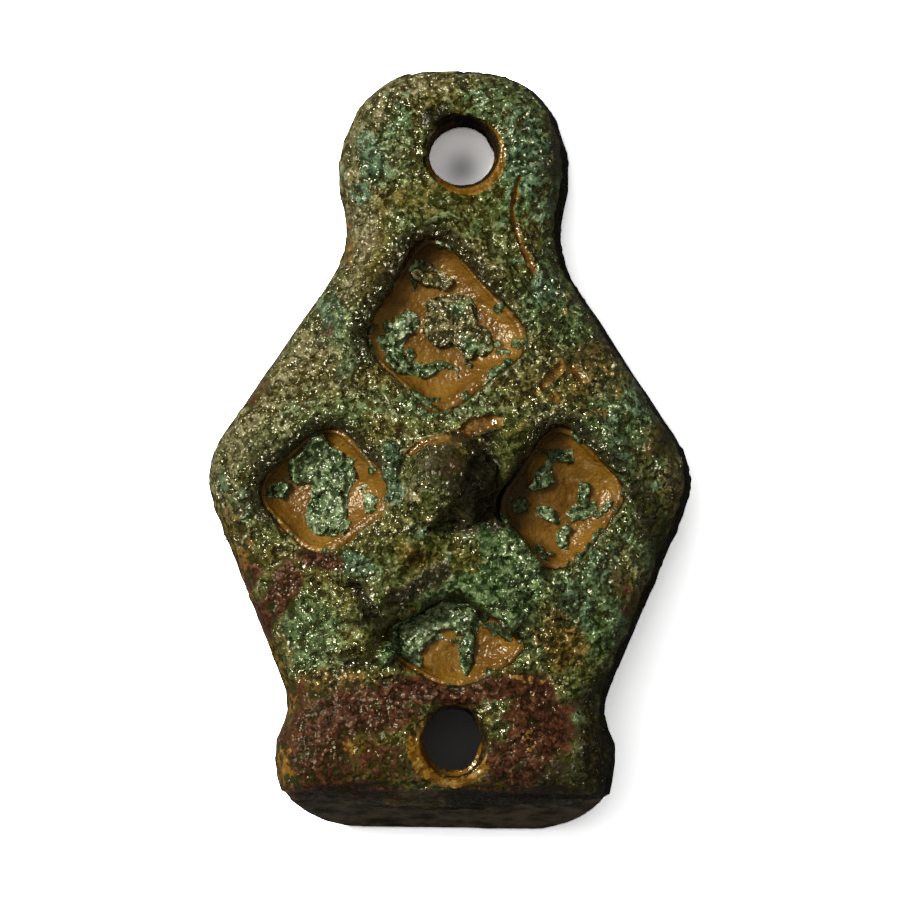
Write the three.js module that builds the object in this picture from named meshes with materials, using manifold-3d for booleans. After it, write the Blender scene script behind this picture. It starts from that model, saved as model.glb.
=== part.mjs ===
// A cast copper-alloy mount from a stirrup strap, of the eleventh century, lying on its back.
// One casting carries everything: a domed plate with a rounded eye at the apex, four sunk
// cells round a knob, a rivet hole in the eye and one above the foot, and a flange that
// stands out behind the foot and hooks over the stirrup. The cells keep their ochre fill,
// and flakes of green crust lie on the fill. Lengths are millimetres.
//
// The mount is drawn upright first: x across, y up the plate from the shoulder line, z out
// of the face, with the strap side at z = 0. The last group tips it back onto the table.

import * as THREE from 'three';
import { mergeVertices } from 'three/addons/utils/BufferGeometryUtils.js';
import Module from 'manifold-3d';

const wasm = await Module();
wasm.setup();

// Outline of the plate, right half, from the eye down. Each corner of it has its place and
// the length of its rounding.
const apexRise = 24.2;
const eyeHalfWidth = 5.0;
const eyeRounding = 3.8;
const cheekHalfWidth = 7.2;
const cheekRise = 18.2;
const cheekRounding = 2.4;
const neckHalfWidth = 5.85;
const neckRise = 13.6;
const neckRounding = 2.6;
const shoulderHalfWidth = 14.75;
const shoulderRise = 0.35;
const shoulderRounding = 2.5;
const waistHalfWidth = 9.0;
const waistDrop = 13.75;
const waistRounding = 1.4;
const footHalfWidth = 10.1;
const footTopDrop = 15.7;
const footTopRounding = 0.8;
const footEndHalfWidth = 9.65;
const footDrop = 18.95;
const footRounding = 0.95;

// Section of the plate: an upright side, a rounded edge, and a face that swells to the
// crown. The rounding is part of a quarter turn, so that the swell can take over from it
// without a flat. The crown is a line up the middle, highest across the shoulders.
const backRounding = 0.35;
const sideHeight = 1.5;
const sideDraft = 0.2;
const edgeRounding = 2.6;
const edgeRise = 2.0;
const edgeTurn = 0.8;
const endThickness = 3.9;
const crownRise = 1.3;
const crownReach = 16;
const crownCentre = -0.6;
const crownTop = 18.2;
const crownFoot = -12.5;

// Knob in the middle of the face, in a shallow groove.
const knobX = 0;
const knobY = -0.75;
const knobRadius = 2.9;
const knobHeight = 1.9;
const knobTipRadius = 1.4;
const knobRoot = 1.0;
const grooveWidth = 0.8;
const grooveDepth = 0.35;

// Rivet holes: a straight bore that wear has opened out where it meets the face. The upper
// one is placed from the apex, the lower one from the end of the foot.
const boreLength = 2.2;
const apexHoleX = 0.45;
const apexHoleInset = 5.2;
const apexHoleRadius = 1.95;
const apexHoleMouthRadius = 2.75;
const footHoleX = 0.35;
const footHoleInset = 3.5;
const footHoleRadius = 1.85;
const footHoleMouthRadius = 2.6;
const footHoleWearX = 0.1;
const footHoleWearDrop = 0.35;

const rivetHoles = [
  {
    x: apexHoleX,
    y: apexRise - apexHoleInset,
    radius: apexHoleRadius,
    mouthRadius: apexHoleMouthRadius,
    wearX: 0,
    wearY: 0,
  },
  {
    x: footHoleX,
    y: footHoleInset - footDrop,
    radius: footHoleRadius,
    mouthRadius: footHoleMouthRadius,
    wearX: footHoleWearX,
    wearY: -footHoleWearDrop,
  },
];

// Cells, each by the corners it would have if they were sharp. The wall is a hollow curve
// from the floor up to the lip, and above the lip the metal rounds away into the face.
const cellRounding = 2.2;
const cellDepth = 1.55;
const cellWallRun = 1.7;
const lipDrop = 0.45;
const mouthRun = 1.3;
const mouthRise = 0.95;

// The top cell runs from the neck down to the knob. Its corners are placed from the neck,
// from the knob and from the middle of the plate.
const topCellUpperX = -1.4;
const topCellAboveNeck = 1.2;
const topCellLeftReach = 5.8;
const topCellLeftRise = 8.2;
const topCellRightReach = 5.3;
const topCellRightRise = 8.4;
const topCellLowerX = -0.6;
const topCellAboveKnob = 3.45;

// The side cells fill the shoulders. Their outer corners are placed from the shoulders, the
// inner ones from the knob, and the rest from the middle of the side they are on.
const leftCellMargin = 2.75;
const leftCellOuterDrop = 0.45;
const leftCellInnerX = 2.35;
const leftCellInnerDrop = 0.95;
const leftCellUpperShift = 0.375;
const leftCellUpperRise = 4.1;
const leftCellLowerShift = 0.275;
const leftCellLowerDrop = 4.95;
const rightCellMargin = 3.75;
const rightCellOuterDrop = 0.15;
const rightCellInnerX = 2.2;
const rightCellInnerDrop = 1.85;
const rightCellUpperShift = 1.275;
const rightCellUpperRise = 4.4;
const rightCellLowerShift = 0.875;
const rightCellLowerDrop = 5.9;

// The lower cell runs from the knob down to the waist.
const lowerCellX = 0.4;
const lowerCellBelowKnob = 5.45;
const lowerCellAboveWaist = 0.5;
const lowerCellLeftReach = 5.15;
const lowerCellLeftRise = 3.75;
const lowerCellRightReach = 5.1;
const lowerCellRightRise = 3.55;

const shoulderMiddle = shoulderHalfWidth / 2;
const cells = [
  {
    name: 'top',
    upper: { x: topCellUpperX, y: neckRise + topCellAboveNeck },
    outerLeft: { x: -topCellLeftReach, y: knobY + topCellLeftRise },
    lower: { x: topCellLowerX, y: knobY + topCellAboveKnob },
    outerRight: { x: topCellRightReach, y: knobY + topCellRightRise },
  },
  {
    name: 'left',
    upper: { x: leftCellUpperShift - shoulderMiddle, y: knobY + leftCellUpperRise },
    outerLeft: { x: leftCellMargin - shoulderHalfWidth, y: knobY - leftCellOuterDrop },
    lower: { x: -leftCellLowerShift - shoulderMiddle, y: knobY - leftCellLowerDrop },
    outerRight: { x: knobX - leftCellInnerX, y: knobY - leftCellInnerDrop },
  },
  {
    name: 'right',
    upper: { x: shoulderMiddle - rightCellUpperShift, y: knobY + rightCellUpperRise },
    outerLeft: { x: knobX + rightCellInnerX, y: knobY - rightCellInnerDrop },
    lower: { x: shoulderMiddle - rightCellLowerShift, y: knobY - rightCellLowerDrop },
    outerRight: { x: shoulderHalfWidth - rightCellMargin, y: knobY - rightCellOuterDrop },
  },
  {
    name: 'lower',
    upper: { x: lowerCellX, y: knobY - lowerCellBelowKnob },
    outerLeft: { x: lowerCellX - lowerCellLeftReach, y: lowerCellLeftRise - waistDrop },
    lower: { x: lowerCellX, y: lowerCellAboveWaist - waistDrop },
    outerRight: { x: lowerCellX + lowerCellRightReach, y: lowerCellRightRise - waistDrop },
  },
];

// What lies in the cells: a lining of fill, and crust on top of it.
const fillThickness = 0.3;
const crustThickness = 0.28;
const seatGap = 0.04;
const rimShare = 0.75;

// Flakes of crust. Each outline is a closed curve through points given as shares of the half
// width and half height of its cell, from the middle of the cell.
const flakes = [
  {
    name: 'top_cell_crust_middle',
    cell: 'top',
    shares: [
      [-0.17, 0.26], [0.23, 0.28], [0.32, 0.12], [0.45, -0.02], [0.5, -0.21], [0.34, -0.34],
      [0.24, -0.44], [0.15, -0.58], [0.1, -0.5], [0.15, -0.26], [-0.08, -0.21],
      [-0.23, -0.12], [-0.24, 0.07],
    ],
  },
  {
    name: 'top_cell_crust_hook',
    cell: 'top',
    shares: [
      [-0.38, 0.12], [-0.28, 0], [-0.41, -0.12], [-0.46, -0.29], [-0.29, -0.38],
      [0.02, -0.44], [0, -0.52], [-0.33, -0.52], [-0.54, -0.47], [-0.65, -0.3],
      [-0.64, -0.08],
    ],
  },
  {
    name: 'top_cell_crust_upper',
    cell: 'top',
    shares: [
      [-0.39, 0.52], [-0.26, 0.6], [-0.11, 0.56], [0.04, 0.42], [-0.04, 0.34],
      [-0.19, 0.38], [-0.36, 0.44],
    ],
  },
  {
    name: 'left_cell_crust_sheet',
    cell: 'left',
    shares: [
      [-0.19, 0.66], [-0.08, 0.78], [-0.02, 0.63], [0.17, 0.49], [0.31, 0.3],
      [0.35, 0.13], [0.27, -0.02], [0.26, -0.54], [0.08, -0.6], [-0.14, -0.56],
      [-0.26, -0.35], [-0.18, -0.11], [-0.16, 0.06], [-0.42, 0.11], [-0.46, 0.34],
      [-0.37, 0.52],
    ],
  },
  {
    name: 'left_cell_crust_patch',
    cell: 'left',
    shares: [
      [0.4, 0.02], [0.5, 0.08], [0.52, -0.03], [0.65, -0.1], [0.69, -0.2], [0.6, -0.28],
      [0.38, -0.3], [0.37, -0.15],
    ],
  },
  {
    name: 'left_cell_crust_chip',
    cell: 'left',
    shares: [[-0.72, -0.01], [-0.6, 0.11], [-0.45, 0.07], [-0.47, -0.05], [-0.62, -0.09]],
  },
  {
    name: 'right_cell_crust_arc',
    cell: 'right',
    shares: [
      [-0.46, 0.21], [-0.36, 0.31], [-0.26, 0.4], [-0.17, 0.5], [-0.04, 0.56],
      [0.12, 0.57], [0.13, 0.46], [0.04, 0.43], [-0.06, 0.45], [-0.14, 0.36],
      [-0.12, 0.2], [-0.2, 0.13], [-0.42, 0.11],
    ],
  },
  {
    name: 'right_cell_crust_hook',
    cell: 'right',
    shares: [
      [0.2, 0.12], [0.29, 0.21], [0.36, 0.14], [0.36, -0.02], [0.43, -0.08],
      [0.55, -0.06], [0.64, 0.01], [0.66, -0.06], [0.57, -0.16], [0.43, -0.21],
      [0.27, -0.16], [0.23, -0.02],
    ],
  },
  {
    name: 'right_cell_crust_bar',
    cell: 'right',
    shares: [[-0.34, -0.08], [-0.2, -0.1], [-0.03, -0.2], [-0.04, -0.28], [-0.32, -0.18]],
  },
  {
    name: 'right_cell_crust_drop',
    cell: 'right',
    shares: [[-0.08, -0.37], [0.1, -0.34], [0.08, -0.5], [0.01, -0.58], [-0.07, -0.5]],
  },
  {
    name: 'right_cell_crust_chip',
    cell: 'right',
    shares: [[-0.38, -0.55], [-0.27, -0.53], [-0.14, -0.63], [-0.22, -0.7], [-0.36, -0.63]],
  },
  {
    name: 'lower_cell_crust_sheet',
    cell: 'lower',
    shares: [
      [-0.72, 0.2], [-0.46, 0.46], [-0.24, 0.66], [0.02, 0.76], [0.3, 0.66], [0.6, 0.44],
      [0.58, 0.32], [0.4, 0.38], [0.28, 0.2], [0.22, -0.1], [0.24, -0.4], [0.16, -0.66],
      [0.07, -0.4], [0.04, -0.08], [-0.11, -0.02], [-0.27, -0.06], [-0.37, -0.25],
      [-0.36, -0.5], [-0.58, -0.46], [-0.7, -0.3], [-0.76, -0.04],
    ],
  },
];

// Flange behind the foot. It leans outwards, and its far corners are well rounded.
const flangeProjection = 5.0;
const flangeLean = THREE.MathUtils.degToRad(12.5);
const flangeThickness = 2.1;
const flangeRootHalfWidth = 9.75;
const flangeEndHalfWidth = 7.7;
const flangeCornerWidth = 2.1;
const flangeCornerDepth = 4.0;
const flangeEdgeRounding = 0.3;
const flangeFillet = 0.7;

// How finely the curves are drawn.
const halfOutlinePoints = 62;
const edgeRings = 3;
const crownRings = 5;
const cellPoints = 38;
const wallRings = 4;
const mouthRings = 3;
const roundSegments = 36;
const flakePoints = 34;
const flangeRings = 6;
const cornerSegments = 6;
const restingPasses = 4;

// Cutting tools run past what they cut by this much, and edges shorter than the last value
// are merged away.
const overrun = 2;
const smallestEdge = 0.004;

const quarterTurn = Math.PI / 2;

// Solids from three.js geometry, and back.

function solidOf(geometry) {
  const bare = geometry.index ? geometry.toNonIndexed() : geometry.clone();
  bare.deleteAttribute('normal');
  bare.deleteAttribute('uv');
  const merged = mergeVertices(bare, 1e-4);
  const index = merged.index.array;
  const triVerts = [];
  for (let i = 0; i < index.length; i += 3) {
    const [a, b, c] = [index[i], index[i + 1], index[i + 2]];
    if (a !== b && b !== c && c !== a) triVerts.push(a, b, c);
  }
  return new wasm.Manifold(
    new wasm.Mesh({
      numProp: 3,
      vertProperties: merged.attributes.position.array,
      triVerts: new Uint32Array(triVerts),
    }),
  );
}

function geometryOf(solid) {
  const mesh = solid.getMesh();
  const geometry = new THREE.BufferGeometry();
  geometry.setAttribute('position', new THREE.BufferAttribute(mesh.vertProperties, 3));
  geometry.setIndex(new THREE.BufferAttribute(mesh.triVerts, 1));
  const faceted = geometry.toNonIndexed();
  faceted.computeVertexNormals();
  return faceted;
}

// A closed skin over a stack of rings. The rings run anticlockwise seen from above, all with
// the same number of points. The first ring gets a floor, and so does the last one, unless
// the stack closes to a line there.
function loft(rings, closesToLine = false) {
  const count = rings[0].length;
  const index = [];
  for (let r = 0; r + 1 < rings.length; r++) {
    for (let i = 0; i < count; i++) {
      const j = (i + 1) % count;
      const [a, b] = [r * count + i, r * count + j];
      const [c, d] = [a + count, b + count];
      index.push(a, b, d, a, d, c);
    }
  }
  for (const [a, b, c] of THREE.ShapeUtils.triangulateShape(rings[0], [])) {
    index.push(c, b, a);
  }
  if (!closesToLine) {
    const last = (rings.length - 1) * count;
    for (const face of THREE.ShapeUtils.triangulateShape(rings.at(-1), [])) {
      index.push(...face.map((corner) => last + corner));
    }
  }
  const positions = rings.flat().flatMap((p) => [p.x, p.y, p.z]);
  const geometry = new THREE.BufferGeometry();
  geometry.setAttribute('position', new THREE.Float32BufferAttribute(positions, 3));
  geometry.setIndex(index);
  return solidOf(geometry);
}

function raised(points, z) {
  return points.map((p) => new THREE.Vector3(p.x, p.y, z));
}

// A path through corners, each rounded off by a curve that starts and ends `cut` from it.
function roundedCorners(path, corners, before, after) {
  const stops = [before, ...corners, after].map((p) => new THREE.Vector2(p.x, p.y));
  corners.forEach((corner, i) => {
    const here = stops[i + 1];
    const [start, end] = [stops[i], stops[i + 2]].map((other) =>
      other.clone().sub(here).setLength(corner.cut).add(here),
    );
    path.lineTo(start.x, start.y);
    path.quadraticCurveTo(here.x, here.y, end.x, end.y);
  });
}

function roundedPolygon(corners) {
  const shape = new THREE.Shape();
  const last = corners.at(-1);
  const first = corners[0];
  shape.moveTo((last.x + first.x) / 2, (last.y + first.y) / 2);
  roundedCorners(shape, corners, last, first);
  shape.closePath();
  return shape;
}

// A curve's points without the last one, which repeats the first.
function openRing(points) {
  return points.slice(0, points.length - 1);
}

// Points round the corners of a rounded polygon, as many at each, even at one left sharp.
function cornerPoints(shape) {
  const corners = shape.curves.filter((curve) => !curve.isLineCurve);
  return corners.flatMap((curve) => curve.getPoints(cornerSegments));
}

// The plate.

const plateCorners = [
  { x: eyeHalfWidth, y: apexRise, cut: eyeRounding },
  { x: cheekHalfWidth, y: cheekRise, cut: cheekRounding },
  { x: neckHalfWidth, y: neckRise, cut: neckRounding },
  { x: shoulderHalfWidth, y: shoulderRise, cut: shoulderRounding },
  { x: waistHalfWidth, y: -waistDrop, cut: waistRounding },
  { x: footHalfWidth, y: -footTopDrop, cut: footTopRounding },
  { x: footEndHalfWidth, y: -footDrop, cut: footRounding },
];

// The right half of the outline, from the middle of the eye to the middle of the foot.
function drawHalfOutline() {
  const path = new THREE.Path();
  const apex = new THREE.Vector2(0, apexRise);
  const foot = new THREE.Vector2(0, -footDrop);
  path.moveTo(apex.x, apex.y);
  roundedCorners(path, plateCorners, apex, foot);
  path.lineTo(foot.x, foot.y);
  return path.getSpacedPoints(halfOutlinePoints);
}

const halfOutline = drawHalfOutline();

// The whole outline, anticlockwise from the apex.
function plateOutline() {
  const left = halfOutline.map((p) => new THREE.Vector2(-p.x, p.y));
  return [...left, ...halfOutline.slice(1, -1).reverse()];
}

function halfWidthAt(y) {
  const next = halfOutline.findIndex((p) => p.y <= y);
  const [above, below] = [halfOutline[next - 1], halfOutline[next]];
  return THREE.MathUtils.mapLinear(y, above.y, below.y, above.x, below.x);
}

const edgeAngle = edgeTurn * quarterTurn;
const edgeInset = sideDraft + edgeRounding * (1 - Math.cos(edgeAngle));
const faceEdgeHeight = sideHeight + edgeRise * Math.sin(edgeAngle);

// Height of the crown above the strap side.
function crownHeight(y) {
  const reach = THREE.MathUtils.clamp((y - crownCentre) / crownReach, -1, 1);
  return endThickness + crownRise * Math.cos(reach * quarterTurn) ** 2;
}

// Height of the face at `share` of the way from its edge to the crown.
function swell(share, y) {
  return THREE.MathUtils.lerp(faceEdgeHeight, crownHeight(y), Math.sin(share * quarterTurn));
}

function faceHeight(x, y) {
  const reach = halfWidthAt(y) - edgeInset;
  return swell(THREE.MathUtils.clamp(1 - Math.abs(x) / reach, 0, 1), y);
}

// One ring of the plate: the outline drawn in by `inset`, then by `share` of what is left of
// its way to the crown line, at the height that `heightAt` gives.
function plateRing(inset, share, heightAt) {
  return plateOutline().map((point) => {
    const y = THREE.MathUtils.clamp(point.y, crownFoot, crownTop);
    const crownPoint = new THREE.Vector2(0, y);
    const step = crownPoint.clone().sub(point).setLength(inset);
    const place = point.clone().add(step).lerp(crownPoint, share);
    return new THREE.Vector3(place.x, place.y, heightAt(place.y));
  });
}

function plateBlank() {
  const rings = [
    plateRing(backRounding, 0, () => 0),
    plateRing(0, 0, () => backRounding),
  ];
  for (let i = 0; i <= edgeRings; i++) {
    const angle = (i / edgeRings) * edgeAngle;
    const inset = sideDraft + edgeRounding * (1 - Math.cos(angle));
    const rise = edgeRise * Math.sin(angle);
    rings.push(plateRing(inset, 0, () => sideHeight + rise));
  }
  for (let i = 1; i <= crownRings; i++) {
    const share = i / crownRings;
    rings.push(plateRing(edgeInset, share, (y) => swell(share, y)));
  }
  return loft(rings, true);
}

// The flange is a stack of slices parallel to the plate: bars with round ends that follow
// the foot, set further out the further they are behind it. `fillet` thickens a slice on the
// inside, and `inset` draws it in all round. The last slice, which is the most drawn in, has
// square corners: the end is worn flat where it stands. Beside the plate the slices take
// the draft of its side.
function flangeSlice(z, { fillet = 0, inset = 0 }) {
  const behind = sideHeight - z;
  const out = footDrop + behind * Math.tan(flangeLean);
  const taper = behind / (sideHeight + flangeProjection);
  const toEnd = (flangeProjection + z) / flangeCornerDepth;
  const corner = THREE.MathUtils.clamp(1 - toEnd, 0, 1);
  const halfWidth =
    THREE.MathUtils.lerp(flangeRootHalfWidth, flangeEndHalfWidth, taper) -
    flangeCornerWidth * (1 - Math.sqrt(1 - corner ** 2));
  const outer = inset - out;
  const inner = flangeThickness + fillet - inset - out;
  const roundness = 1 - inset / flangeEdgeRounding;
  const draft = sideDraft * Math.max(0, z / sideHeight);
  const right = [
    { x: halfWidth - inset - draft, y: outer + draft, cut: footRounding * roundness },
    { x: halfWidth - inset - draft, y: inner, cut: flangeEdgeRounding * roundness },
  ];
  const left = right.map((c) => ({ ...c, x: -c.x })).reverse();
  return raised(cornerPoints(roundedPolygon([...right, ...left])), z);
}

function flange() {
  const rings = [flangeSlice(-flangeProjection, { inset: flangeEdgeRounding })];
  const squareDepth = flangeProjection - flangeEdgeRounding;
  for (let i = flangeRings; i >= 0; i--) {
    const share = Math.sin((i / flangeRings) * quarterTurn);
    rings.push(flangeSlice(-THREE.MathUtils.lerp(flangeFillet, squareDepth, share), {}));
  }
  for (let i = 1; i <= cornerSegments; i++) {
    const angle = (i / cornerSegments) * quarterTurn;
    const fillet = flangeFillet * (1 - Math.cos(angle));
    rings.push(flangeSlice(-flangeFillet * (1 - Math.sin(angle)), { fillet }));
  }
  rings.push(flangeSlice(sideHeight, { fillet: flangeFillet }));
  return loft(rings);
}

// A solid turned about an upright axis through a point of the face.
function turned(profile, x, y) {
  const geometry = new THREE.LatheGeometry(profile, roundSegments);
  geometry.rotateX(quarterTurn);
  geometry.translate(x, y, 0);
  return solidOf(geometry);
}

function knobGroove() {
  const face = crownHeight(knobY);
  const rim = knobRadius + grooveWidth;
  const profile = [
    new THREE.Vector2(0, face - grooveDepth),
    new THREE.Vector2(knobRadius, face - grooveDepth),
    new THREE.Vector2(rim, face),
    new THREE.Vector2(rim + grooveWidth, face + overrun),
    new THREE.Vector2(0, face + overrun),
  ];
  return turned(profile, knobX, knobY);
}

// A blunt cone: a dome at the tip and a flank that sweeps out to the foot.
function knob() {
  const face = crownHeight(knobY);
  const tip = face + knobHeight;
  const flank = new THREE.CubicBezierCurve(
    new THREE.Vector2(knobRadius, face - grooveDepth),
    new THREE.Vector2((knobRadius + knobTipRadius) / 2, face + knobHeight / 2),
    new THREE.Vector2(knobTipRadius, tip),
    new THREE.Vector2(0, tip),
  );
  const root = face - knobRoot;
  const profile = [
    new THREE.Vector2(0, root),
    new THREE.Vector2(knobRadius, root),
    ...flank.getPoints(cornerSegments),
  ];
  return turned(profile, knobX, knobY);
}

function rivetHole(hole) {
  const face = crownHeight(hole.y);
  const bore = turned(
    [
      new THREE.Vector2(0, -overrun),
      new THREE.Vector2(hole.radius, -overrun),
      new THREE.Vector2(hole.radius, face),
      new THREE.Vector2(0, face),
    ],
    hole.x,
    hole.y,
  );
  const flare = new THREE.QuadraticBezierCurve(
    new THREE.Vector2(hole.radius, boreLength),
    new THREE.Vector2(hole.radius, face),
    new THREE.Vector2(hole.mouthRadius, face),
  );
  const worn = turned(
    [
      new THREE.Vector2(0, boreLength),
      ...flare.getPoints(cornerSegments),
      new THREE.Vector2(hole.mouthRadius, face + overrun),
      new THREE.Vector2(0, face + overrun),
    ],
    hole.x + hole.wearX,
    hole.y + hole.wearY,
  );
  return bore.add(worn);
}

// Cells and what lies in them.

function cellCorners(cell) {
  return [cell.outerRight, cell.upper, cell.outerLeft, cell.lower];
}

function cellMiddle(cell) {
  return new THREE.Vector2(
    (cell.outerLeft.x + cell.outerRight.x) / 2,
    (cell.upper.y + cell.lower.y) / 2,
  );
}

// The outline of a cell at its lip, drawn in towards its middle by `inset`.
function cellRing(cell, inset, heightAt) {
  const corners = cellCorners(cell).map((c) => ({ ...c, cut: cellRounding }));
  const middle = cellMiddle(cell);
  return openRing(roundedPolygon(corners).getSpacedPoints(cellPoints)).map((point) => {
    const place = point.clone().add(middle.clone().sub(point).setLength(inset));
    return new THREE.Vector3(place.x, place.y, heightAt(place.x, place.y));
  });
}

// The lip follows the face, and the floor is a plane that leans as the face does there.
function lipHeight(x, y) {
  return faceHeight(x, y) - lipDrop;
}

function floorHeight(cell) {
  const middle = cellMiddle(cell);
  const { outerRight, outerLeft, upper, lower } = cell;
  const fallX =
    (lipHeight(outerRight.x, middle.y) - lipHeight(outerLeft.x, middle.y)) /
    (outerRight.x - outerLeft.x);
  const fallY =
    (lipHeight(middle.x, upper.y) - lipHeight(middle.x, lower.y)) / (upper.y - lower.y);
  const depth = lipHeight(middle.x, middle.y) - cellDepth;
  return (x, y) => depth + fallX * (x - middle.x) + fallY * (y - middle.y);
}

// Rings up the wall of a cell from its floor to its lip. A lining brings the floor up and
// the wall in by its thickness.
function wallRingsOf(cell, lining) {
  const floorAt = floorHeight(cell);
  return Array.from({ length: wallRings + 1 }, (_, i) => {
    const angle = (i / wallRings) * quarterTurn;
    const inset = lining + cellWallRun * (1 - Math.sin(angle));
    const heightAt = (x, y) =>
      THREE.MathUtils.lerp(lipHeight(x, y), floorAt(x, y) + lining, Math.cos(angle));
    return cellRing(cell, inset, heightAt);
  });
}

function cellCutter(cell) {
  const rings = wallRingsOf(cell, 0);
  for (let i = 1; i <= mouthRings; i++) {
    const angle = (i / mouthRings) * quarterTurn;
    const out = mouthRun * (1 - Math.cos(angle));
    const rise = mouthRise * Math.sin(angle);
    rings.push(cellRing(cell, -out, (x, y) => lipHeight(x, y) + rise));
  }
  rings.push(cellRing(cell, -mouthRun, (x, y) => lipHeight(x, y) + overrun));
  return loft(rings);
}

// A layer on the floor and wall of a cell. Its rings go up the wall on the outside as far as
// its rim, a little below the lip, and come down again on the inside.
function cellLayer(cell, lining, thickness) {
  const upToRim = (rings) => {
    const [below, lip] = rings.slice(-2);
    const rim = below.map((p, i) => p.clone().lerp(lip[i], rimShare));
    return [...rings.slice(0, -1), rim];
  };
  const outside = upToRim(wallRingsOf(cell, lining));
  const inside = upToRim(wallRingsOf(cell, lining + thickness));
  return loft([...outside, ...inside.reverse()]);
}

function crustFlake(flake) {
  const cell = cells.find((c) => c.name === flake.cell);
  const middle = cellMiddle(cell);
  const halfWidth = (cell.outerRight.x - cell.outerLeft.x) / 2;
  const halfHeight = (cell.upper.y - cell.lower.y) / 2;
  const places = flake.shares.map(
    ([across, up]) =>
      new THREE.Vector3(middle.x + across * halfWidth, middle.y + up * halfHeight, 0),
  );
  const curve = new THREE.CatmullRomCurve3(places, true, 'centripetal');
  const outline = openRing(curve.getSpacedPoints(flakePoints));
  if (THREE.ShapeUtils.isClockWise(outline)) outline.reverse();
  const above = crownHeight(crownCentre) + overrun;
  const stamp = loft([raised(outline, 0), raised(outline, above)]);
  const underside = seatGap + fillThickness + seatGap;
  return cellLayer(cell, underside, crustThickness).intersect(stamp).simplify(smallestEdge);
}

function castMount() {
  let solid = plateBlank().add(flange());
  for (const cell of cells) solid = solid.subtract(cellCutter(cell));
  solid = solid.subtract(knobGroove()).add(knob());
  for (const hole of rivetHoles) solid = solid.subtract(rivetHole(hole));
  return solid;
}

// Finishes.

const patinaGreen = new THREE.MeshStandardMaterial({
  color: 0x4a5236,
  roughness: 0.55,
  metalness: 0.25,
});
const ochreFill = new THREE.MeshStandardMaterial({
  color: 0x9a5f17,
  roughness: 0.4,
  metalness: 0,
});
const greenCrust = new THREE.MeshStandardMaterial({
  color: 0x3c6b4a,
  roughness: 0.7,
  metalness: 0,
});

function piece(name, solid, material) {
  const mesh = new THREE.Mesh(geometryOf(solid), material);
  mesh.name = name;
  return mesh;
}

const flat = new THREE.Group();
const casting = piece('mount_casting', castMount(), patinaGreen);
flat.add(casting);
for (const cell of cells) {
  flat.add(piece(`${cell.name}_cell_fill`, cellLayer(cell, seatGap, fillThickness), ochreFill));
}
for (const flake of flakes) {
  flat.add(piece(flake.name, crustFlake(flake), greenCrust));
}

// Tips the mount back until the lowest points of its two ends are level, which is how it
// lies on a table: on the flange's far edge and the back of the apex.
function restingTilt(geometry) {
  const position = geometry.attributes.position;
  const points = Array.from({ length: position.count }, (_, i) =>
    new THREE.Vector3().fromBufferAttribute(position, i),
  );
  const ends = [points.filter((p) => p.y > 0), points.filter((p) => p.y < 0)];
  let tilt = 0;
  for (let pass = 0; pass < restingPasses; pass++) {
    const height = (p) => p.z * Math.cos(tilt) - p.y * Math.sin(tilt);
    const [apex, heel] = ends.map((end) =>
      end.reduce((lowest, p) => (height(p) < height(lowest) ? p : lowest)),
    );
    tilt = Math.atan2(apex.z - heel.z, apex.y - heel.y);
  }
  return tilt;
}

flat.rotation.x = -restingTilt(casting.geometry);
flat.updateMatrixWorld(true);

// The part's origin is on the table, under the middle of the mount.
const extent = new THREE.Box3().setFromObject(flat, true);
flat.position.set(
  -(extent.min.x + extent.max.x) / 2,
  -(extent.min.y + extent.max.y) / 2,
  -extent.min.z,
);

const mount = new THREE.Group();
mount.add(flat);

export default mount;
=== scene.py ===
# %% [markdown]
# # A stirrup mount, corroded and lying on its back
#
# The mount is one small bronze casting, 45 mm long, with four sunk cells round a knob. The
# cells hold a smooth ochre fill, and flakes of green crust lie on it. The shapes come packed
# from the CAD model, in metres. This script gives them the surface that a thousand years in
# the ground left on them: a granular green crust with bare patches of purple and ochre.

import math

import bmesh
import bpy
import numpy as np
from mathutils.kdtree import KDTree
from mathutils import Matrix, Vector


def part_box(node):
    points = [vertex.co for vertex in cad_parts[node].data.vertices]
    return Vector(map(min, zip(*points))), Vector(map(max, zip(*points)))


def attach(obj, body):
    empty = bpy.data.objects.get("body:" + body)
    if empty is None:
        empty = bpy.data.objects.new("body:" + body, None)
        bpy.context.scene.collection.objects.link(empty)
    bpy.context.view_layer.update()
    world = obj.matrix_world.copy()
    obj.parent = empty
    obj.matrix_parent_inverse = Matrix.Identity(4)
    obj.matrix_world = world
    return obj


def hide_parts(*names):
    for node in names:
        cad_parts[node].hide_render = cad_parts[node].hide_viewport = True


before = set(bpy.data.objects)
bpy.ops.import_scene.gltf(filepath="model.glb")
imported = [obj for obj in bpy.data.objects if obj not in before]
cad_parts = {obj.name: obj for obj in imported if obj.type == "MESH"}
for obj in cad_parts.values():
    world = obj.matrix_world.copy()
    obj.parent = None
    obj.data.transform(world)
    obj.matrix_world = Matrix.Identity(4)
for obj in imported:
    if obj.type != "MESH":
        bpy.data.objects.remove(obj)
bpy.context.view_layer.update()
MM_PER_M = 1000.0


# %% [markdown]
# ## Camera
#
# The picture was taken from straight above, from about a third of a metre. The mount leans
# a little to the right in it, so the camera is rolled by that much. A long lens at a real
# distance keeps the parallax in the two rivet holes. The same numbers turn a place in the
# picture into a place on the mount, which is how each stain and flake finds its spot.

# %% Camera
SENSOR_MM = 36.0
CAMERA_HEIGHT = 0.330
PIXELS_PER_MM = 16.83
PICTURE_WIDTH = 900
PICTURE_MIDDLE = (449.9, 449.9)
ROLL = math.radians(0.83)

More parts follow.
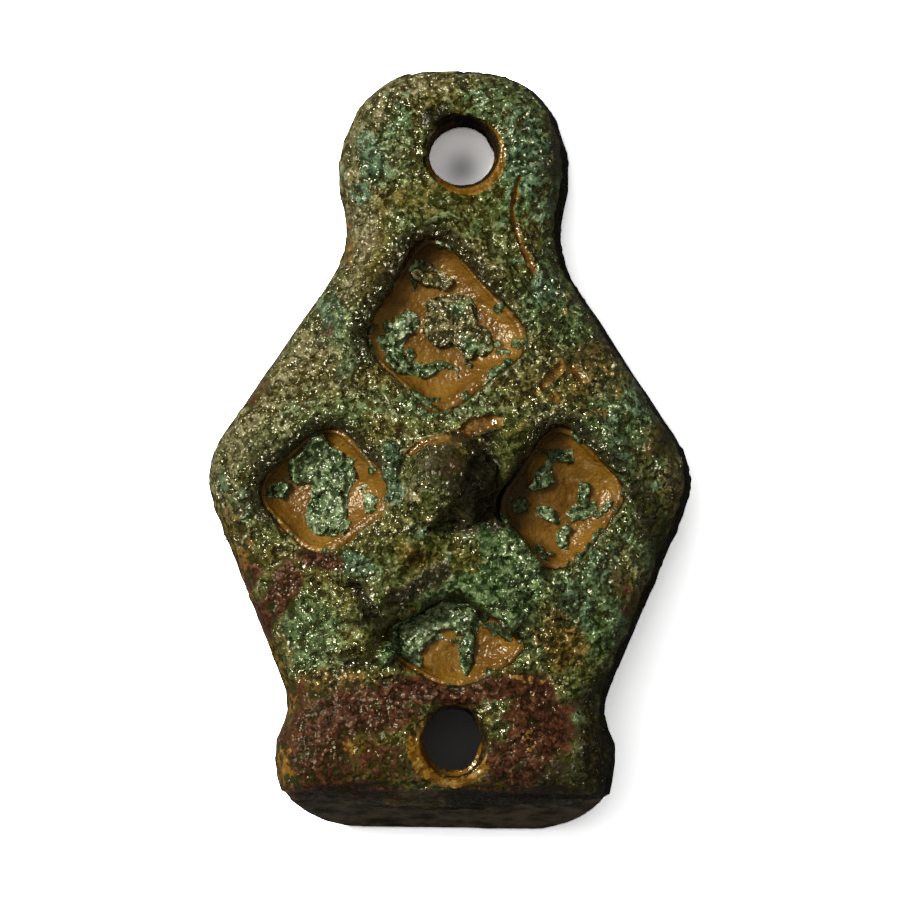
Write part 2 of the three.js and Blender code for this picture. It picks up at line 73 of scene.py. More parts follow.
camera_data = bpy.data.cameras.new("camera")
camera_data.sensor_width = SENSOR_MM
camera_data.lens = PIXELS_PER_MM * CAMERA_HEIGHT * MM_PER_M * SENSOR_MM / PICTURE_WIDTH
camera = bpy.data.objects.new("camera", camera_data)
camera.location = (0, 0, CAMERA_HEIGHT)
camera.rotation_euler = (0, 0, ROLL)
bpy.context.scene.collection.objects.link(camera)
bpy.context.scene.camera = camera
print("lens", round(camera_data.lens, 1), "mm")


# %% Places in the picture
def picture_places(points):
    """Where points of the mount, in mm, show in the picture, in pixels."""
    x, y, z = points.T
    distance = CAMERA_HEIGHT * MM_PER_M
    near = distance / (distance - z)
    across = near * (x * math.cos(ROLL) + y * math.sin(ROLL))
    up = near * (y * math.cos(ROLL) - x * math.sin(ROLL))
    px = PICTURE_MIDDLE[0] + PIXELS_PER_MM * across
    py = PICTURE_MIDDLE[1] - PIXELS_PER_MM * up
    return np.stack([px, py], 1)


# %% [markdown]
# ## Clouds of chance
#
# Corrosion never follows a clean edge. A cloud is smooth noise in space: each corner of a
# grid gets a number from its place and a seed, and between corners the numbers blend. It
# gives the same value at the same place on every run, so nothing here needs luck.

# %% Noise in space
HASH_FACTORS = (374761393, 668265263, 1103515245, 974711)
HASH_MIXER = 1274126177
LOW_32_BITS = 0xFFFFFFFF
LOW_16_BITS = 0xFFFF
# The grid starts far from the mount, so that no place on it has a negative number
GRID_START = 1000.0


def corner_values(i, j, k, seed):
    """A number from 0 to 1 for each corner of the grid, the same on every run."""
    mixed = sum(part * factor for part, factor in zip((i, j, k, seed), HASH_FACTORS)) & LOW_32_BITS
    mixed = ((mixed ^ (mixed >> 13)) * HASH_MIXER) & LOW_32_BITS
    return ((mixed ^ (mixed >> 16)) & LOW_16_BITS) / LOW_16_BITS


def cloud(points, size, seed):
    """Smooth noise from 0 to 1, with lumps about `size` mm across."""
    scaled = points / size + GRID_START
    base = np.floor(scaled).astype(np.int64)
    part = scaled - base
    part = part * part * (3 - 2 * part)
    total = np.zeros(len(points))
    for di in (0, 1):
        for dj in (0, 1):
            for dk in (0, 1):
                share = np.ones(len(points))
                for axis, step in enumerate((di, dj, dk)):
                    share = share * (part[:, axis] if step else 1 - part[:, axis])
                i, j, k = (base + (di, dj, dk)).T
                total += share * corner_values(i, j, k, seed)
    return total


def layered_cloud(points, size, seed, layers=3):
    """Clouds on clouds, each half the size and half the strength of the one before."""
    total = np.zeros(len(points))
    weight = 0.0
    for layer in range(layers):
        total += cloud(points, size / 2 ** layer, seed + layer) / 2 ** layer
        weight += 1 / 2 ** layer
    return total / weight


def ramp(values, low, high):
    """0 below `low`, 1 above `high` and a smooth step between. It falls if low > high."""
    t = np.clip((values - low) / (high - low), 0, 1)
    return t * t * (3 - 2 * t)


# %% [markdown]
# ## Meshes in millimetres
#
# A CAD node is a loose pile of triangles, made to be exact and not to be sculpted. Each piece
# is worked on as a copy: its corners are joined, it is scaled to millimetres and voxel
# remeshed into small even squares, which can carry relief. At the end it goes back to metres.

# %% Mesh helpers
# Corners of CAD triangles that are closer than this, in metres, are one corner
SAME_CORNER = 1e-7


def link(obj):
    bpy.context.scene.collection.objects.link(obj)
    return obj


def rescale(obj, factor, merge_first=False):
    work = bmesh.new()
    work.from_mesh(obj.data)
    if merge_first:
        bmesh.ops.remove_doubles(work, verts=work.verts, dist=SAME_CORNER)
    bmesh.ops.scale(work, vec=(factor, factor, factor), verts=work.verts)
    for face in work.faces:
        face.smooth = True
    work.to_mesh(obj.data)
    work.free()


def copy_in_mm(node, name):
    obj = link(bpy.data.objects.new(name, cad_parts[node].data.copy()))
    obj.data.materials.clear()
    rescale(obj, MM_PER_M, merge_first=True)
    return obj


def apply_modifiers(obj):
    """Replaces the mesh by what its modifiers make of it, and removes them."""
    graph = bpy.context.evaluated_depsgraph_get()
    graph.update()
    mesh = bpy.data.meshes.new_from_object(obj.evaluated_get(graph))
    old = obj.data
    obj.modifiers.clear()
    obj.data = mesh
    bpy.data.meshes.remove(old)
    return obj


def remesh(obj, voxel):
    modifier = obj.modifiers.new("even squares", "REMESH")
    modifier.mode = "VOXEL"
    modifier.voxel_size = voxel
    modifier.use_smooth_shade = True
    return apply_modifiers(obj)


def vectors_of(items, name):
    flat = np.zeros(len(items) * 3, np.float32)
    items.foreach_get(name, flat)
    return flat.reshape(-1, 3).astype(float)


def corners_of(obj):
    return vectors_of(obj.data.vertices, "co")


def normals_of(obj):
    return vectors_of(obj.data.vertex_normals, "vector")


def store(obj, name, values):
    """Keeps one number for each corner, for the geometry nodes and the material to read."""
    attribute = obj.data.attributes.get(name) or obj.data.attributes.new(name, "FLOAT", "POINT")
    attribute.data.foreach_set("value", np.asarray(values, np.float32))


def numbers_of(obj, name):
    """Reads such numbers back."""
    values = np.zeros(len(obj.data.vertices), np.float32)
    obj.data.attributes[name].data.foreach_get("value", values)
    return values.astype(float)


def triangles(obj):
    return sum(len(face.vertices) - 2 for face in obj.data.polygons)


# %% [markdown]
# ## Relief
#
# Crust stands up in lumps with rounded tops and sharp valleys between, as grains do that grew
# side by side. Two sizes of noise make it: broad lumps, and grains that are smaller. Their
# height is scaled by one attribute, so bare metal stays smooth, and another attribute lifts or
# sinks whole places. One node tree does it for every piece, with the sizes as inputs.

# %% Node tree helpers
def set_input(tree, socket, value):
    """Links a socket to another one, or sets it to a number, a colour or a vector."""
    if isinstance(value, bpy.types.NodeSocket):
        tree.links.new(value, socket)
    elif socket.type == "RGBA":
        socket.default_value = (*value, 1.0)
    else:
        socket.default_value = value


def add_node(tree, kind, inputs=None, **settings):
    """Adds a node. Its inputs are given by their names or their numbers."""
    node = tree.nodes.new(kind)
    for name, value in settings.items():
        setattr(node, name, value)
    for key, value in (inputs or {}).items():
        set_input(tree, node.inputs[key], value)
    return node


def maths(tree, operation, first, second):
    return add_node(tree, "ShaderNodeMath", {0: first, 1: second}, operation=operation).outputs[0]


def vector_maths(tree, operation, first, second):
    """SCALE takes a number last. DOT_PRODUCT and DISTANCE give one, and the rest a vector."""
    key = "Scale" if operation == "SCALE" else 1
    node = add_node(tree, "ShaderNodeVectorMath", operation=operation)
    set_input(tree, node.inputs[0], first)
    set_input(tree, node.inputs[key], second)
    return node.outputs["Value" if operation in ("DOT_PRODUCT", "DISTANCE") else 0]


def named_attribute(tree, name):
    kind = "GeometryNodeInputNamedAttribute"
    return add_node(tree, kind, {"Name": name}, data_type="FLOAT").outputs["Attribute"]


def geometry_tree(name, **numbers):
    """An empty tree whose inputs are a mesh, numbers and a material, with its two end nodes."""
    tree = bpy.data.node_groups.new(name, "GeometryNodeTree")
    sockets = tree.interface
    sockets.new_socket("Geometry", in_out="INPUT", socket_type="NodeSocketGeometry")
    for key, value in numbers.items():
        kind = "NodeSocketInt" if isinstance(value, int) else "NodeSocketFloat"
        title = key.replace("_", " ").title()
        sockets.new_socket(title, in_out="INPUT", socket_type=kind).default_value = value
    sockets.new_socket("Finish", in_out="INPUT", socket_type="NodeSocketMaterial")
    sockets.new_socket("Geometry", in_out="OUTPUT", socket_type="NodeSocketGeometry")
    start = add_node(tree, "NodeGroupInput")
    end = add_node(tree, "NodeGroupOutput")
    return tree, start.outputs, end.inputs


def close_tree(tree, geometry, start, end):
    """The last steps of a tree: every instance becomes real and gets its material."""
    whole = add_node(tree, "GeometryNodeRealizeInstances", {0: geometry}).outputs[0]
    inputs = {"Geometry": whole, "Material": start["Finish"]}
    finish = add_node(tree, "GeometryNodeSetMaterial", inputs)
    set_input(tree, end[0], finish.outputs[0])
    print(tree.name, "has", len(tree.nodes), "nodes")


def apply_tree(obj, tree, **inputs):
    """Runs a tree on the mesh, with its inputs set by their identifiers, and keeps the result."""
    modifier = obj.modifiers.new(tree.name, "NODES")
    modifier.node_group = tree
    for item in tree.interface.items_tree:
        key = item.name.lower().replace(" ", "_")
        if item.in_out == "INPUT" and key in inputs:
            modifier[item.identifier] = inputs[key]
    apply_modifiers(obj)


# %% The relief tree
LUMP_DETAIL = 2.0
GRAIN_SMOOTHNESS = 0.35
# A grain stands up where it is closer than this to its middle, as a share of the grain size
GRAIN_REACH = 0.55


def relief_tree():
    tree, start, end = geometry_tree(
        "crust relief", lump_size=1.2, lump_height=0.1, grain_size=0.3, grain_height=0.1, seed=1.0
    )
    place = add_node(tree, "GeometryNodeInputPosition").outputs[0]
    lumps = add_node(tree, "ShaderNodeTexNoise", {
        "Vector": place, "W": start["Seed"], "Detail": LUMP_DETAIL,
        "Scale": maths(tree, "DIVIDE", 1.0, start["Lump Size"]),
    }, noise_dimensions="4D")
    grains = add_node(tree, "ShaderNodeTexVoronoi", {
        "Vector": place, "W": start["Seed"], "Smoothness": GRAIN_SMOOTHNESS,
        "Scale": maths(tree, "DIVIDE", 1.0, start["Grain Size"]),
    }, voronoi_dimensions="4D", feature="SMOOTH_F1")
    dome = maths(tree, "SUBTRACT", GRAIN_REACH, grains.outputs["Distance"])
    broad = maths(tree, "SUBTRACT", lumps.outputs["Fac"], 0.5)
    broad = maths(tree, "MULTIPLY", broad, start["Lump Height"])
    broad = maths(tree, "MULTIPLY", broad, 2.0)
    fine = maths(tree, "MULTIPLY", dome, start["Grain Height"])
    height = maths(tree, "ADD", broad, fine)
    height = maths(tree, "MULTIPLY", height, named_attribute(tree, "granular"))
    height = maths(tree, "ADD", height, named_attribute(tree, "lift"))
    outward = add_node(tree, "GeometryNodeInputNormal").outputs[0]
    move = add_node(tree, "GeometryNodeSetPosition", {
        "Geometry": start["Geometry"], "Offset": vector_maths(tree, "SCALE", outward, height),
    })
    close_tree(tree, move.outputs["Geometry"], start, end)
    return tree


relief = relief_tree()

# %% [markdown]
# ## Finishes
#
# Bronze patina is a stack of thin crusts, so its colour is mixed: an olive ground with dark
# pits and light crests, and stains of green, purple and ochre where the attributes say so,
# each with a speckled edge. Some stains are painted light and shade: the dark one is mostly
# painted shade, the tan one is partly painted sheen and the bright bore ochre is partly
# painted light. It is not metallic any more, but its grains are glassy. A tight gloss on
# small flat facets, each tilted its own way, gives the sparkle. Colours are written as
# linear light.

# %% Colour helpers
def colour_mix(tree, amount, first, second):
    inputs = {0: amount, 6: first, 7: second}
    return add_node(tree, "ShaderNodeMix", data_type="RGBA", inputs=inputs).outputs[2]


def shifted(tree, place, seed):
    """The same coordinates moved aside, so that two patterns don't lie on each other."""
    return vector_maths(tree, "ADD", place, (0.013 * seed, 0.007 * seed, 0.003 * seed))


def noise(tree, place, size, detail=1.0, roughness=0.5, seed=0.0, twist=0.0):
    """Noise with features about `size` mm across. Object coordinates are in metres."""
    return add_node(tree, "ShaderNodeTexNoise", {
        "Vector": shifted(tree, place, seed), "Scale": MM_PER_M / size, "Detail": detail,
        "Roughness": roughness, "Distortion": twist,
    }, noise_dimensions="3D").outputs["Fac"]


def step(tree, value, low, high):
    inputs = {"Value": value, "From Min": low, "From Max": high}
    node = add_node(tree, "ShaderNodeMapRange", inputs, interpolation_type="SMOOTHSTEP")
    return node.outputs["Result"]


def between(tree, share, low, span):
    """A number that goes from `low` to `low` + `span` as `share` goes from 0 to 1."""
    return maths(tree, "ADD", low, maths(tree, "MULTIPLY", share, span))


def attribute(tree, name):
    return add_node(tree, "ShaderNodeAttribute", attribute_name=name).outputs["Fac"]


STAIN_BREAK = 1.3


def stain(tree, name, speckle, softness=0.25):
    """An attribute from 0 to 1 made into a mask whose edge breaks up in specks."""
    broken = maths(tree, "MULTIPLY", maths(tree, "SUBTRACT", speckle, 0.5), STAIN_BREAK)
    total = maths(tree, "ADD", attribute(tree, name), broken)
    return step(tree, total, 0.5 - softness, 0.5 + softness)


def bump(tree, height, distance_mm):
    inputs = {"Distance": distance_mm / MM_PER_M, "Height": height}
    return add_node(tree, "ShaderNodeBump", inputs).outputs["Normal"]


def new_material(name):
    material = bpy.data.materials.new(name)
    material.use_nodes = True
    tree = material.node_tree
    return material, tree, add_node(tree, "ShaderNodeTexCoord").outputs["Object"]


def dress(tree, inputs):
    """Sets the inputs of the material's own shader."""
    for name, value in inputs.items():
        set_input(tree, tree.nodes["Principled BSDF"].inputs[name], value)


# %% Crust that is rugged
HALF = (0.5, 0.5, 0.5)
FACET_TILT = 3.2
# Shares of the size of the crust: its facets, and how the lines between them are bent
FACET_SHARE = 0.38
BEND_SHARE = 0.5
BEND_REACH_SHARE = 0.45
CREVICE_EDGE = 0.20
CRUST_IOR = 1.85
CRUST_SIZE = 0.56
CRUST_BUMP = 0.34


def warped(tree, place, size, reach):
    """The coordinates pushed about by up to `reach` mm, so that straight edges wander."""
    inputs = {"Vector": place, "Scale": MM_PER_M / size, "Detail": 1.0}
    chance = add_node(tree, "ShaderNodeTexNoise", inputs, noise_dimensions="3D").outputs["Color"]
    push = vector_maths(tree, "SUBTRACT", chance, HALF)
    return vector_maths(tree, "ADD", place, vector_maths(tree, "SCALE", push, reach / MM_PER_M))


def facets(tree, place, size, seed):
    """Glassy facets `size` mm across, each tilted its own way: height in mm, a chance, edge."""
    here = shifted(tree, place, seed)
    cells, borders = (
        add_node(
            tree, "ShaderNodeTexVoronoi", voronoi_dimensions="3D", feature=feature,
            inputs={"Vector": here, "Scale": MM_PER_M / size},
        )
        for feature in ("F1", "DISTANCE_TO_EDGE")
    )
    colour = cells.outputs["Color"]
    offset = vector_maths(tree, "SUBTRACT", here, cells.outputs["Position"])
    tilt = vector_maths(tree, "SUBTRACT", colour, HALF)
    rise = maths(tree, "MULTIPLY", vector_maths(tree, "DOT_PRODUCT", offset, tilt), MM_PER_M)
    chance = add_node(tree, "ShaderNodeSeparateColor", {0: colour}).outputs[0]
    return rise, chance, borders.outputs["Distance"]


def rugged(tree, place, size, seed):
    """Tone of a rough crust, about 0.3 in its pits and 0.7 on its crests, and its height."""
    broad = noise(tree, place, size, 1.0, 0.5, seed, 0.6)
    bent = warped(tree, place, size * BEND_SHARE, size * BEND_REACH_SHARE)
    facet, chance, edge = facets(tree, bent, size * FACET_SHARE, seed + 2.0)
    speckle = maths(tree, "MULTIPLY", maths(tree, "SUBTRACT", chance, 0.5), 0.20)
    crevice = maths(tree, "MULTIPLY", step(tree, edge, CREVICE_EDGE, 0.0), 0.07)
    tone = maths(tree, "SUBTRACT", maths(tree, "ADD", broad, speckle), crevice)
    height = maths(tree, "ADD", broad, maths(tree, "MULTIPLY", facet, FACET_TILT))
    return tone, height


def three_tones(tree, tone, pit, middle, crest):
    """Dark pits, a middle tone and light crests, by the tone of the crust."""
    colour = colour_mix(tree, step(tree, tone, 0.38, 0.50), pit, middle)
    return colour_mix(tree, step(tree, tone, 0.56, 0.70), colour, crest)


# %% The patina of the casting
# Each finish has the colours of its pits, its middle tone and its crests
WARM_GROUND = ((0.042, 0.033, 0.004), (0.12, 0.096, 0.017), (0.26, 0.222, 0.064))
COOL_GROUND = ((0.03, 0.033, 0.004), (0.088, 0.096, 0.018), (0.21, 0.222, 0.072))
# attribute: softness of its edge, and its colours
STAINS = {
    "green": (0.30, (0.028, 0.047, 0.009), (0.084, 0.132, 0.041), (0.19, 0.262, 0.106)),
    # Partly painted sheen, on the left-hand slopes and outline that face the light
    "tan_and_painted_sheen": (0.25, (0.056, 0.044, 0.012), (0.175, 0.148, 0.056), (0.36, 0.32, 0.16)),
    "mint": (0.20, (0.03, 0.055, 0.022), (0.09, 0.15, 0.068), (0.2, 0.29, 0.16)),
    "lime": (0.25, (0.05, 0.064, 0.01), (0.14, 0.172, 0.042), (0.29, 0.33, 0.11)),
    "amber": (0.25, (0.04, 0.024, 0.002), (0.12, 0.074, 0.009), (0.23, 0.155, 0.034)),
    "plum": (0.20, (0.021, 0.007, 0.003), (0.066, 0.022, 0.009), (0.125, 0.049, 0.019)),
    "sheet": (0.12, (0.02, 0.04, 0.008), (0.08, 0.128, 0.04), (0.22, 0.3, 0.115)),
    # Bright ochre, partly painted light where it lines rivet-hole walls that lie in shadow
    "bore": (0.15, (0.15, 0.065, 0.004), (0.3, 0.145, 0.016), (0.4, 0.24, 0.06)),
    "rust": (0.10, (0.095, 0.034, 0.002), (0.19, 0.086, 0.009), (0.29, 0.165, 0.034)),
    # Mostly painted shade: a near-black tone for hollows, walls, the heel and right sides away from the
    # light
    "dark": (0.25, (0.006, 0.005, 0.002), (0.018, 0.014, 0.005), (0.044, 0.036, 0.014)),
}


def patina_material(name, gloss):
    """Olive in warmer and cooler areas, with the stains over it in the order of the list, painted light
    and shade among them.
    """
    material, tree, place = new_material(name)
    tone, crust_height = rugged(tree, place, CRUST_SIZE, 2.0)
    area = step(tree, noise(tree, place, 3.2, 2.0, 0.6, 1.0), 0.42, 0.60)
    warm = three_tones(tree, tone, *WARM_GROUND)
    cool = three_tones(tree, tone, *COOL_GROUND)
    colour = colour_mix(tree, area, warm, cool)
    for kind, (softness, *tones) in STAINS.items():
        stained = three_tones(tree, tone, *tones)
        colour = colour_mix(tree, stain(tree, kind, tone, softness), colour, stained)
    patch = noise(tree, place, 2.0, 2.0, 0.6, 5.0)
    rough = between(tree, step(tree, patch, 0.44, 0.62), 0.17, 0.20)
    rough = between(tree, attribute(tree, "plum"), rough, 0.08)
    amount = maths(tree, "ADD", 0.15, attribute(tree, "granular"))
    height = maths(tree, "MULTIPLY", crust_height, amount)
    dress(tree, {
        "Base Color": colour, "Roughness": rough, "IOR": CRUST_IOR, "Specular IOR Level": gloss,
        "Specular Tint": (1.0, 0.93, 0.62), "Normal": bump(tree, height, CRUST_BUMP),
    })
    return material


def heel_material():
    material, tree, place = new_material("smooth dark bronze")
    patch = step(tree, noise(tree, place, 1.4, 3.0, 0.6, 7.0), 0.35, 0.65)
    height = rugged(tree, place, 0.5, 9.0)[1]
    dress(tree, {
        "Base Color": colour_mix(tree, patch, (0.05, 0.037, 0.022), (0.17, 0.13, 0.078)),
        "Roughness": 0.45, "Specular IOR Level": 0.06, "Specular Tint": (1.0, 0.88, 0.68),
        "Normal": bump(tree, height, 0.08),
    })
    return material


# %% The ochre fill and the crust flakes
FILL_CRUST = ((0.014, 0.028, 0.005), (0.055, 0.088, 0.03), (0.21, 0.28, 0.13))
GREEN_FLAKE = ((0.022, 0.044, 0.009), (0.098, 0.15, 0.05), (0.28, 0.38, 0.18))
PALE_FLAKE = ((0.044, 0.068, 0.018), (0.19, 0.245, 0.1), (0.46, 0.54, 0.32))
OLIVE_FLAKE = ((0.036, 0.028, 0.004), (0.13, 0.104, 0.028), (0.28, 0.24, 0.1))


def fill_material():
    material, tree, place = new_material("ochre cell fill")
    broad = noise(tree, place, 2.6, 2.0, 0.55, 11.0)
    patch = noise(tree, place, 0.7, 3.0, 0.6, 12.0)
    tone, crust_height = rugged(tree, place, CRUST_SIZE, 2.0)
    crusted = stain(tree, "crusted", tone, 0.12)
    colour = (0.13, 0.055, 0.004)
    for amount, next_colour in (
        (step(tree, broad, 0.35, 0.68), (0.23, 0.11, 0.011)),
        (step(tree, patch, 0.54, 0.76), (0.26, 0.15, 0.036)),
        (step(tree, patch, 0.40, 0.28), (0.085, 0.034, 0.004)),
        (stain(tree, "shade", patch, 0.4), (0.04, 0.018, 0.003)),
        (crusted, three_tones(tree, tone, *FILL_CRUST)),
    ):
        colour = colour_mix(tree, amount, colour, next_colour)
    waves = maths(tree, "MULTIPLY", noise(tree, place, 0.30, 1.5, 0.55, 14.0), 0.52)
    waves = maths(tree, "ADD", waves, maths(tree, "MULTIPLY", crust_height, crusted))
    dress(tree, {
        "Base Color": colour, "Roughness": between(tree, patch, 0.16, 0.26),
        "Specular IOR Level": 0.6, "Specular Tint": (1.0, 0.86, 0.62),
        "Normal": bump(tree, waves, 0.24),
    })
    return material


def crust_material():
    material, tree, place = new_material("green crust flakes")
    broad = noise(tree, place, 1.5, 2.0, 0.6, 21.0)
    tone, crust_height = rugged(tree, place, 0.52, 22.0)
    green = three_tones(tree, tone, *GREEN_FLAKE)
    pale = three_tones(tree, tone, *PALE_FLAKE)
    olive = three_tones(tree, tone, *OLIVE_FLAKE)
    olive = colour_mix(tree, step(tree, broad, 0.54, 0.66), olive, green)
    colour = colour_mix(tree, step(tree, broad, 0.45, 0.60), green, pale)
    patch = noise(tree, place, 0.8, 2.0, 0.6, 24.0)
    dress(tree, {
        "Base Color": colour_mix(tree, stain(tree, "olive", tone), colour, olive),
        "Roughness": between(tree, patch, 0.14, 0.26), "IOR": CRUST_IOR,
        "Specular IOR Level": 0.5, "Specular Tint": (1.0, 0.98, 0.76),
        "Normal": bump(tree, crust_height, CRUST_BUMP),
    })
    return material


FACE_GLOSS = 0.5
CALM_GLOSS = 0.13
SIDE_GLOSS = 0.04
patina = patina_material("granular bronze patina", FACE_GLOSS)
calm_patina = patina_material("satin bronze patina", CALM_GLOSS)
side_patina = patina_material("dull bronze patina", SIDE_GLOSS)
ochre = fill_material()
crust = crust_material()
dark_bronze = heel_material()
finishes = (patina, calm_patina, side_patina, ochre, crust, dark_bronze)
print("finishes:", ", ".join(finish.name for finish in finishes))

# %% [markdown]
# ## The casting
#
# The casting carries nearly all that is seen. The whole of it is remeshed finely, and then
# the back and the sides, which are plainer, are thinned again, so that most triangles are
# spent on the face. The stains are placed by where they show in the picture.

# %% Copy and remesh the casting
FACE_VOXEL = 0.13
CASTING_TRIANGLES = 186000
# The face is thinned little, and what looks down or aside below this height much
FACE_WEIGHT = 0.05
PLAIN_BELOW = 6.3
casting = remesh(copy_in_mm("mount_casting", "corroded_casting"), FACE_VOXEL)
print("remeshed casting:", triangles(casting), "triangles")


def thin_out(obj, is_plain, ratio):
    """Collapses edges, most where `is_plain` says so, until `ratio` of the faces are left."""
    group = obj.vertex_groups.new(name="plain")
    for weight, chosen in ((FACE_WEIGHT, ~is_plain), (1.0, is_plain)):
        group.add(np.nonzero(chosen)[0].tolist(), weight, "REPLACE")
    modifier = obj.modifiers.new("thin out", "DECIMATE")
    modifier.ratio = ratio
    modifier.vertex_group = group.name
    apply_modifiers(obj)
    obj.vertex_groups.clear()


is_plain = (normals_of(casting)[:, 2] < 0.1) & (corners_of(casting)[:, 2] < PLAIN_BELOW)
thin_out(casting, is_plain, min(1.0, CASTING_TRIANGLES / triangles(casting)))
print("thinned casting:", triangles(casting), "triangles")
